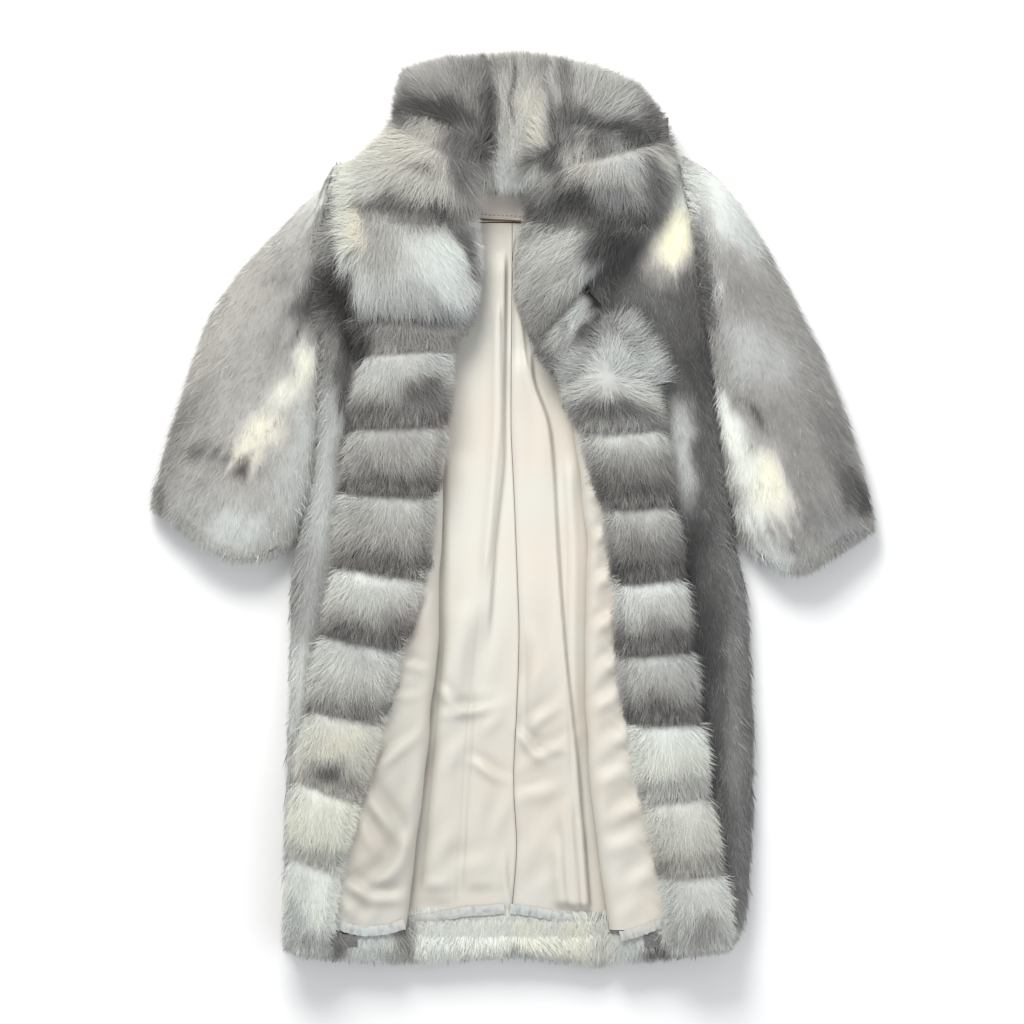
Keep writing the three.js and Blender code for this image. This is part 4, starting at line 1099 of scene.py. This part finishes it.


# Sleeves
# Three-quarter sleeves of lengthwise pelts, laid flat, the over half on the under half. The
# cuffs are open, and a tube of the lining's satin shows inside.

SLEEVE_LINING_TOP = 0.15  # the lining is built up to this Y, since no view reaches higher inside
SLEEVE_LINING_DRAWN_IN = [0.975, 0.975, 1.0]  # toward the shoulder, so it stays inside the fur
SLEEVES = {
    "left": ((-0.225, 0.60), 0.60, 0.40, 900, [
        # pinkish grey outside, paler towards the shoulder
        (-298, 413, 36, 42, -30, 0.62, 0.35),
        (-273, 448, 20, 28, 0, 0.80, 0.2),
        (-263, 413, 7, 42, -10, 0.48, 0.35),
        (-389, 308, 56, 56, -35, 0.60, 0.5),
        (-460, 150, 26, 84, -20, 0.45, 0.45),
        (-487, 56, 20, 36, -10, 0.48, 0.45),
        (-431, 224, 25, 64, -25, 0.62, 0.5),
        # grey shade at the armhole, with a dark wisp beside the cream inner patch
        (-312, 328, 39, 11, -8, 0.48, 0.4),
        (-293, 290, 34, 25, 10, 0.30, 0.35),
        (-267, 290, 28, 48, 6, 0.12, 0.35),
        (-340, 224, 22, 22, 0, 0.50, 0.45),
        (-309, 244, 6, 21, -20, 0.24, 0.4),
        (-297, 202, 14, 31, -6, 0.92, 0.6),
        (-315, 160, 24, 24, -35, 0.90, 0.6),
        (-349, 120, 31, 24, -40, 0.91, 0.8),
        (-377, 84, 24, 28, -20, 0.90, 0.9),
        (-332, 120, 11, 4, 30, 0.56, 0.7),
        # the hollow at the elbow, darker here as painted shade
        (-419, 74, 45, 13, -16, 0.36, 0.5),
        (-381, 50, 10, 11, 0, 0.22, 0.6),
        (-351, 52, 20, 7, 10, 0.50, 0.6),
        (-452, 39, 36, 14, 0, 0.54, 0.35),
        # bluish white at the cuff
        (-445, -3, 42, 17, 0, 0.60, 0.2),
        (-385, -36, 53, 31, 0, 0.76, 0.06),
        (-312, 28, 31, 48, 0, 0.70, 0.15),
        (-295, 98, 18, 56, 0, 0.70, 0.12),
        (-501, 14, 11, 28, 0, 0.38, 0.35),
    ]),
    "right": ((0.24, 0.62), 0.52, 0.36, 950, [
        # a bluish white shoulder, then grey
        (293, 434, 36, 70, 20, 0.90, 0.1),
        (326, 384, 20, 42, 25, 0.74, 0.08),
        (332, 294, 34, 28, 20, 0.48, 0.35),
        (284, 305, 11, 13, 0, 0.80, 0.1),
        (325, 224, 31, 39, 15, 0.68, 0.1),
        (363, 216, 28, 36, 15, 0.64, 0.12),
        (384, 308, 17, 25, 25, 0.56, 0.4),
        (402, 151, 36, 42, 15, 0.50, 0.4),
        (374, 123, 25, 25, 0, 0.47, 0.45),
        (444, 84, 25, 70, 15, 0.40, 0.35),
        (472, 21, 20, 36, 10, 0.30, 0.35),
        (494, 6, 11, 22, 10, 0.20, 0.3),
        (402, 56, 25, 48, 0, 0.47, 0.4),
        (430, -14, 42, 22, -10, 0.42, 0.3),
        (465, -36, 36, 13, -12, 0.50, 0.12),
        # the white inner patch, with a sharp dark seam beside it
        (294, 147, 14, 36, 14, 1.00, 0.12),
        (308, 102, 18, 39, 10, 0.98, 0.2),
        (335, 53, 31, 36, 20, 0.93, 0.3),
        (367, 42, 17, 48, 18, 0.94, 0.8),
        (357, 6, 31, 25, 20, 0.93, 0.6),
        (335, -17, 25, 22, 0, 0.90, 0.15),
        (333, 136, 4, 36, 28, 0.30, 0.4),
        (396, -45, 4, 31, 16, 0.30, 0.4),
        (277, 112, 8, 84, 2, 0.16, 0.3),
        (368, -64, 39, 17, 0, 0.74, 0.06),
    ]),
}
for hand, (shoulder, tone, warmth, seed, patches) in SLEEVES.items():
    def along_the_sleeve(points, shoulder=shoulder):
        lay = np.zeros((len(points), 3))
        lay[:, :2] = points[:, :2] - np.array(shoulder)
        return unit(lay)

    def sleeve_paint(points, tone=tone, warmth=warmth, patches=patches, seed=seed):
        return painted(points, tone, warmth, patches, seed)

    top = smooth_form(f"sleeve_{hand}_over", shows)
    low = smooth_form(f"sleeve_{hand}_under", lambda centre, facing: facing[:, 2] < 0.6)
    skin = skin_piece(f"sleeve_{hand}_pelts", [top, low], sleeve_paint,
                      [f"sleeve_{hand}_over", f"sleeve_{hand}_under"], inset=0.004)
    covers = over(f"collar_{hand}_low", f"collar_{hand}_mid")
    hair = hair_piece(f"sleeve_{hand}_hair", [
        strands(top, along_the_sleeve, sleeve_paint, 5, UNDERFUR, seed, covers, fray=18),
        strands(top, along_the_sleeve, sleeve_paint, 18.5, GUARD_HAIR, seed + 1, covers,
                droop=0.004, fray=16),
        strands(low, along_the_sleeve, sleeve_paint, 2.5, PRESSED_SLEEVE_HAIR, seed + 2, under=0.004),
    ])
    inside = [
        smooth_form(f"sleeve_{hand}_over",
                    lambda centre, facing: (facing[:, 2] < -0.5) & (centre[:, 1] < SLEEVE_LINING_TOP)),
        smooth_form(f"sleeve_{hand}_under",
                    lambda centre, facing: (facing[:, 2] > 0.5) & (centre[:, 1] < SLEEVE_LINING_TOP)),
    ]
    points = np.concatenate([form[0] for form in inside])
    up_the_sleeve = np.array([*shoulder, 0.03])
    points = up_the_sleeve + (points - up_the_sleeve) * SLEEVE_LINING_DRAWN_IN
    faces = np.concatenate([inside[0][1], inside[1][1] + len(inside[0][0])])
    sleeve_lining = mesh_of(f"sleeve_{hand}_lining_satin", points, faces, SATIN)
    # painted shade all over the lining inside the sleeve
    give(sleeve_lining, "painted_shade", np.full(len(points), 0.2))


# Fur turned up over the back hem
# The pelts' lower ends, turned over the edge. Their long hair falls clear of the lining's tape.

HEM_PATCHES = [
    (-215, -612, 26, 30, 0, 0.80, 0.1), (-250, -610, 14, 24, 0, 0.34, 0.35),
    (165, -612, 30, 30, 0, 0.80, 0.1), (-150, -610, 16, 30, 0, 0.52, 0.4),
    (-100, -606, 30, 26, 0, 0.88, 0.15), (-40, -600, 34, 24, 0, 0.90, 0.2),
    (20, -604, 34, 26, 0, 0.88, 0.45), (84, -606, 34, 30, 0, 0.84, 0.6), (120, -620, 22, 24, 0, 0.80, 0.4),
    (0, -632, 140, 8, 0, 0.66, 0.2),
]


def hem_paint(points):
    return painted(points, 0.82, 0.3, HEM_PATCHES, 101)


def off_the_hem(points):
    x = points[:, 0]
    sideways = 1.6 * soft_noise(x / MM, x * 0, 30, 103) * 0.35
    return unit(np.stack([sideways, -np.ones(len(x)), np.full(len(x), -0.1)], 1))


def strip_form(left, right, top, bottom, height):
    """A level strip of quads, cut into triangles, for hair that grows under an edge."""
    columns = 24
    x = np.linspace(left, right, columns)
    rows = [np.column_stack([x, np.full(columns, y), np.full(columns, height)]) for y in (top, bottom)]
    return np.concatenate(rows), strip_faces(columns), np.tile([0.0, 0.0, 1.0], (2 * columns, 1))


hem_form = smooth_form("hem_fur_back", shows)
edge_of_tape = strip_form(-0.150, 0.086, -0.556, -0.574, 0.0295)
under_tape = strip_form(-0.152, 0.140, -0.570, -0.604, 0.030)
beside_tape = strip_form(0.078, 0.134, -0.562, -0.590, 0.031)
# the tapes' lower edges, and the hem fur's own top edge, which hair falls across: path, droop,
# width of the row of roots
HEM_EDGES = [([(-259, -594), (-235, -599), (-200, -599), (-144, -591)], 0.022, 0.007),
             ([(127, -599), (157, -602), (192, -595), (217, -588)], 0.022, 0.007),
             ([(-142, -606), (-88, -605), (10, -604), (124, -606)], 0.006, 0.030)]
# where the hem's hair grows, hairs per square centimetre, kind, seed, droop
HEM_LOTS = [
    (hem_form, 32, HEM_HAIR, 105, 0.008),
    (hem_form, 9, HEM_UNDERFUR, 106, 0.0),
    (edge_of_tape, 50, LOW_TUFT, 111, 0.0),
    (under_tape, 60, TALL_TUFT, 107, 0.006),
    (beside_tape, 60, SIDE_TUFT, 108, 0.0),
]
hem_skin = skin_piece("hem_fur_pelts", [hem_form], hem_paint, ["hem_fur_back"], inset=0.004)
hem_hair = hair_piece("hem_fur_hair", [
    strands(place, off_the_hem, hem_paint, per_cm2, kind, seed, droop=droop, plan="coat", under=0.004)
    for place, per_cm2, kind, seed, droop in HEM_LOTS
] + [
    seam_locks(path, -91, hem_paint, 112 + i, length=0.040, wide=wide, per_cm2=0.35 / wide + 35, plan="coat",
               droop=droop)
    for i, (path, droop, wide) in enumerate(HEM_EDGES)
])


# Ribbon tapes
# White satin ribbon, 14 mm wide, run along the lining's hem by hand and slightly gathered.

# woven tighter than the lining, and whiter
RIBBON = satin("white_satin_ribbon", "#c0c5c2", "#828380", "#bfbeb8", threads=900.0)
TAPES = {
    "front_left": (61.4, [(-258, -574), (-240, -583), (-215, -590), (-190, -590), (-166, -584),
                          (-152, -580)]),
    "back_left": (27.6, [(-146, -578), (-120, -574), (-100, -570), (-60, -563), (-12, -560)]),
    "back_right": (27.6, [(-4, -560), (30, -564), (60, -571), (84, -575)]),
    "front_right": (61.4, [(150, -597), (165, -594), (180, -589), (204, -580), (222, -572)]),
}
TAPE_WIDTH = 14.0


def spline(points, count):
    """Evenly spread points on a smooth line through the given ones."""
    points = np.array(points, float)
    steps = np.concatenate([[0], np.cumsum(np.linalg.norm(np.diff(points, axis=0), axis=1))])
    even = np.linspace(0, steps[-1], count)
    rough = np.stack([np.interp(even, steps, points[:, k]) for k in range(points.shape[1])], 1)
    kernel = np.hanning(max(5, count // 4 * 2 + 1))
    kernel /= kernel.sum()
    pad = len(kernel) // 2
    ends = np.concatenate([2 * rough[:1] - rough[pad:0:-1], rough, 2 * rough[-1:] - rough[-2:-pad - 2:-1]])
    return np.stack([np.convolve(ends[:, k], kernel, "valid") for k in range(points.shape[1])], 1), steps[-1]


for name, (base, path) in TAPES.items():
    line, run = spline(path, 61)
    tangent = unit(np.gradient(line, axis=0))
    normal = np.stack([-tangent[:, 1], tangent[:, 0]], 1)

    def tape(s, t, line=line, normal=normal, base=base, name=name):
        i = np.clip(np.round(t * 60).astype(int), 0, 60)
        pucker = 0.9 * soft_noise(t * 400, s * 20, 7, len(name)) * (1 - 0.5 * s)
        pucker = pucker + 0.7 * soft_noise(t * 400, s * 9, 16, 7)
        edge = TAPE_WIDTH * (s - 0.5) + 0.8 * soft_noise(t * 300, t * 0, 12, 9) * (np.abs(s - 0.5) * 2)
        flat = line[i] + normal[i] * edge[:, None]
        z = base + 0.7 + pucker + 0.8 * np.sin(math.pi * s)
        # painted shade in the dips of the puckers
        return np.column_stack([flat, z]) * MM, 0.5 * np.clip(-pucker, 0, 1)

    ribbon = cloth_grid(f"hem_tape_{name}_ribbon", 61, 9, tape, RIBBON)
    ribbon.data.flip_normals()
    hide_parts(f"hem_tape_{name}")


# Bare skin at the hem's front corners
# Where the facing ends, a little of the pelt's suede side shows under the tape, dark grey.

def suede():
    """Pelt leather left bare: matt, finely napped, grey-brown."""
    material = bpy.data.materials.new("pelt_suede")
    material.use_nodes = True
    tree = material.node_tree
    shader = tree.nodes["Principled BSDF"]
    place = node(tree, "TexCoord").outputs["Object"]
    nap = node(tree, "TexNoise", {"Vector": place, "Scale": 420.0, "Detail": 4.0}).outputs["Fac"]
    colour = node(tree, "ValToRGB", {"Fac": nap}, [(0.3, "#5d5b5a"), (0.7, "#82807e")]).outputs["Color"]
    bump = node(tree, "Bump", {"Height": nap, "Strength": 0.4, "Distance": 0.001}).outputs["Normal"]
    tree.links.new(colour, shader.inputs["Base Color"])
    tree.links.new(bump, shader.inputs["Normal"])
    shader.inputs["Roughness"].default_value = 0.85
    shader.inputs["Sheen Weight"].default_value = 0.2
    return material


SUEDE = suede()
PATCHES = {"left": [(-256, -218), (-612, -594)], "right": [(184, 222), (-612, -594)]}
for hand, (across, along) in PATCHES.items():
    def bare_skin(s, t, across=across, along=along):
        x = across[0] + (across[1] - across[0]) * s
        y = along[1] + (along[0] - along[1]) * t
        z = 60.4 + 0.8 * soft_noise(x, y, 12, 111) - 3.0 * t * t
        return np.stack([x, y, z], 1) * MM, 0 * s

    bare = cloth_grid(f"hem_patch_{hand}_suede", 10, 14, bare_skin, SUEDE)
    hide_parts(f"hem_patch_{hand}")


# Neck facing
# A satin shape inside the back of the neck. A row of small running stitches and a brown
# twisted cord finish its lower edge.

def neck_facing(s, t):
    x = -60 + 82 * s
    y = 461 - (461 - 404.5) * t
    z = 26.3 + 0.8 * soft_noise(x, y, 22, 121) + 0.9 * np.exp(-(((x + 42) / 4) ** 2))
    z = z + 0.7 * np.exp(-((t - 1) / 0.05) ** 2)
    # painted shade in a thin line beside the small ridge
    return np.stack([x, y, z], 1) * MM, 0.25 * np.exp(-(((x + 48) / 6) ** 2))


FACING_SATIN = satin("peach_satin", "#efe8df", "#b0a396", "#f0e5da")
facing = cloth_grid("neck_facing_satin", 36, 44, neck_facing, FACING_SATIN)
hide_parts("neck_facing")


def cord_finish(name, dark, light, scale):
    """Cotton or rayon thread, twisted: matt, with a slanting light and dark lay."""
    material = bpy.data.materials.new(name)
    material.use_nodes = True
    tree = material.node_tree
    shader = tree.nodes["Principled BSDF"]
    place = node(tree, "TexCoord").outputs["Object"]
    lay = node(tree, "TexWave", {"Vector": place, "Scale": scale, "Distortion": 0.6},
               bands_direction="DIAGONAL")
    colour = node(tree, "ValToRGB", {"Fac": lay.outputs["Fac"]}, [(0.2, dark), (0.8, light)]).outputs["Color"]
    tree.links.new(colour, shader.inputs["Base Color"])
    shader.inputs["Roughness"].default_value = 0.7
    return material


def tube(path, radius, sides, wave=0.0, phase=0.0, pitch=5.0):
    """Points and quads of a round thread along a path. wave swings it round the path as a strand."""
    path = np.array(path, float)
    tangent = unit(np.gradient(path, axis=0))
    up = np.tile([0.0, 0.0, 1.0], (len(path), 1))
    side = unit(np.cross(tangent, up))
    steps = np.concatenate([[0], np.cumsum(np.linalg.norm(np.diff(path, axis=0), axis=1))])
    swing = 2 * math.pi * steps / pitch + phase
    centre = path + wave * (side * np.cos(swing)[:, None] + up * np.sin(swing)[:, None])
    angles = np.linspace(0, 2 * math.pi, sides, endpoint=False)
    round_x, round_y = np.cos(angles)[None, :, None], np.sin(angles)[None, :, None]
    rings = centre[:, None] + radius * (side[:, None] * round_x + up[:, None] * round_y)
    n = len(path)
    i = (np.arange(n - 1)[:, None] * sides + np.arange(sides)[None]).ravel()
    j = (np.arange(n - 1)[:, None] * sides + (np.arange(sides) + 1)[None] % sides).ravel()
    return rings.reshape(-1, 3), np.stack([i, j, j + sides, i + sides], 1)


def joined(parts):
    points, faces, start = [], [], 0
    for part_points, part_faces in parts:
        points.append(part_points)
        faces.append(part_faces + start)
        start += len(part_points)
    return np.concatenate(points), np.concatenate(faces)


CORD = cord_finish("twisted_cord_brown", "#5c452f", "#a58561", 300.0)
piping_x = np.linspace(-50, 14, 120)
piping_y = 405.4 - 0.07 * piping_x + 0.6 * np.cos(piping_x / 12)
piping_path = np.stack([piping_x, piping_y, np.full(120, 28.4)], 1)
ply = [tube(piping_path, 0.8, 6, wave=0.7, phase=turn * 2 * math.pi / 3, pitch=4.5) for turn in range(3)]
points, faces = joined(ply)
piping = mesh_of("neck_piping_cord", points * MM, faces, CORD)
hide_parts("neck_piping")

# running stitches 3 mm long, one every 6 mm, just above the cord
THREAD = cord_finish("stitching_thread", "#77624e", "#99836b", 900.0)
stitches = []
for x in np.arange(-46, 12, 6.0):
    span = np.linspace(0, 3.2, 7)
    y = 412.2 - 0.07 * x + 0.6 * np.cos(x / 12)
    arch = np.stack([x + span, np.full(7, y), 28.0 + 0.7 * np.sin(math.pi * span / 3.2)], 1)
    stitches.append(tube(arch, 0.45, 6))
points, faces = joined(stitches)
row = mesh_of("neck_stitches", points * MM, faces, THREAD)


# Studio
# A pale floor, one broad lamp beyond the collar and even light all round. The camera looks
# straight down, from far off, as the photograph does.

def pale_floor():
    material = bpy.data.materials.new("painted_floor")
    material.use_nodes = True
    tree = material.node_tree
    shader = tree.nodes["Principled BSDF"]
    place = node(tree, "TexCoord").outputs["Object"]
    mottle = node(tree, "TexNoise", {"Vector": place, "Scale": 6.0}).outputs["Fac"]
    colour = node(tree, "ValToRGB", {"Fac": mottle}, [(0.3, "#f4f4f3"), (0.7, "#f7f7f6")]).outputs["Color"]
    tree.links.new(colour, shader.inputs["Base Color"])
    shader.inputs["Roughness"].default_value = 0.9
    shader.inputs["Specular IOR Level"].default_value = 0.1
    return material


floor = mesh_of("floor", np.array([[-6, -6, -0.0005], [6, -6, -0.0005], [6, 6, -0.0005], [-6, 6, -0.0005]]),
                np.array([[0, 1, 2, 3]]), pale_floor())
floor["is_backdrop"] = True


def lamp(name, place, size, power, colour):
    data = bpy.data.lights.new(name, "AREA")
    data.size = size
    data.energy = power
    data.color = linear(colour)[:3]
    made = bpy.data.objects.new(name, data)
    bpy.context.scene.collection.objects.link(made)
    made.location = place
    made.rotation_euler = (-Vector(place)).to_track_quat("-Z", "Y").to_euler()
    made.visible_camera = False
    return made


lamp("broad_lamp", (-0.9, 3.0, 2.8), 1.8, 168, "#fffdfb")
lamp("far_fill", (1.6, -1.2, 2.6), 2.4, 22, "#f3f7ff")

world = bpy.data.worlds.new("studio")
world.use_nodes = True
world.node_tree.nodes["Background"].inputs["Color"].default_value = linear("#f7f9fb")
world.node_tree.nodes["Background"].inputs["Strength"].default_value = 0.62
bpy.context.scene.world = world

PICTURE_WIDTH = 1.4336  # metres of floor across the photograph
MIDDLE = (-0.0014, -0.0028)
LENS = 300.0
camera = bpy.data.cameras.new("camera")
camera.lens = LENS
camera.sensor_width = 36.0
camera.clip_end = 100.0
eye = bpy.data.objects.new("camera", camera)
bpy.context.scene.collection.objects.link(eye)
eye.location = (MIDDLE[0], MIDDLE[1], 0.06 + PICTURE_WIDTH * LENS / 36.0)
eye.rotation_euler = (0, 0, 0)
bpy.context.scene.camera = eye
bpy.context.scene.view_settings.view_transform = "Standard"

low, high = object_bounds()
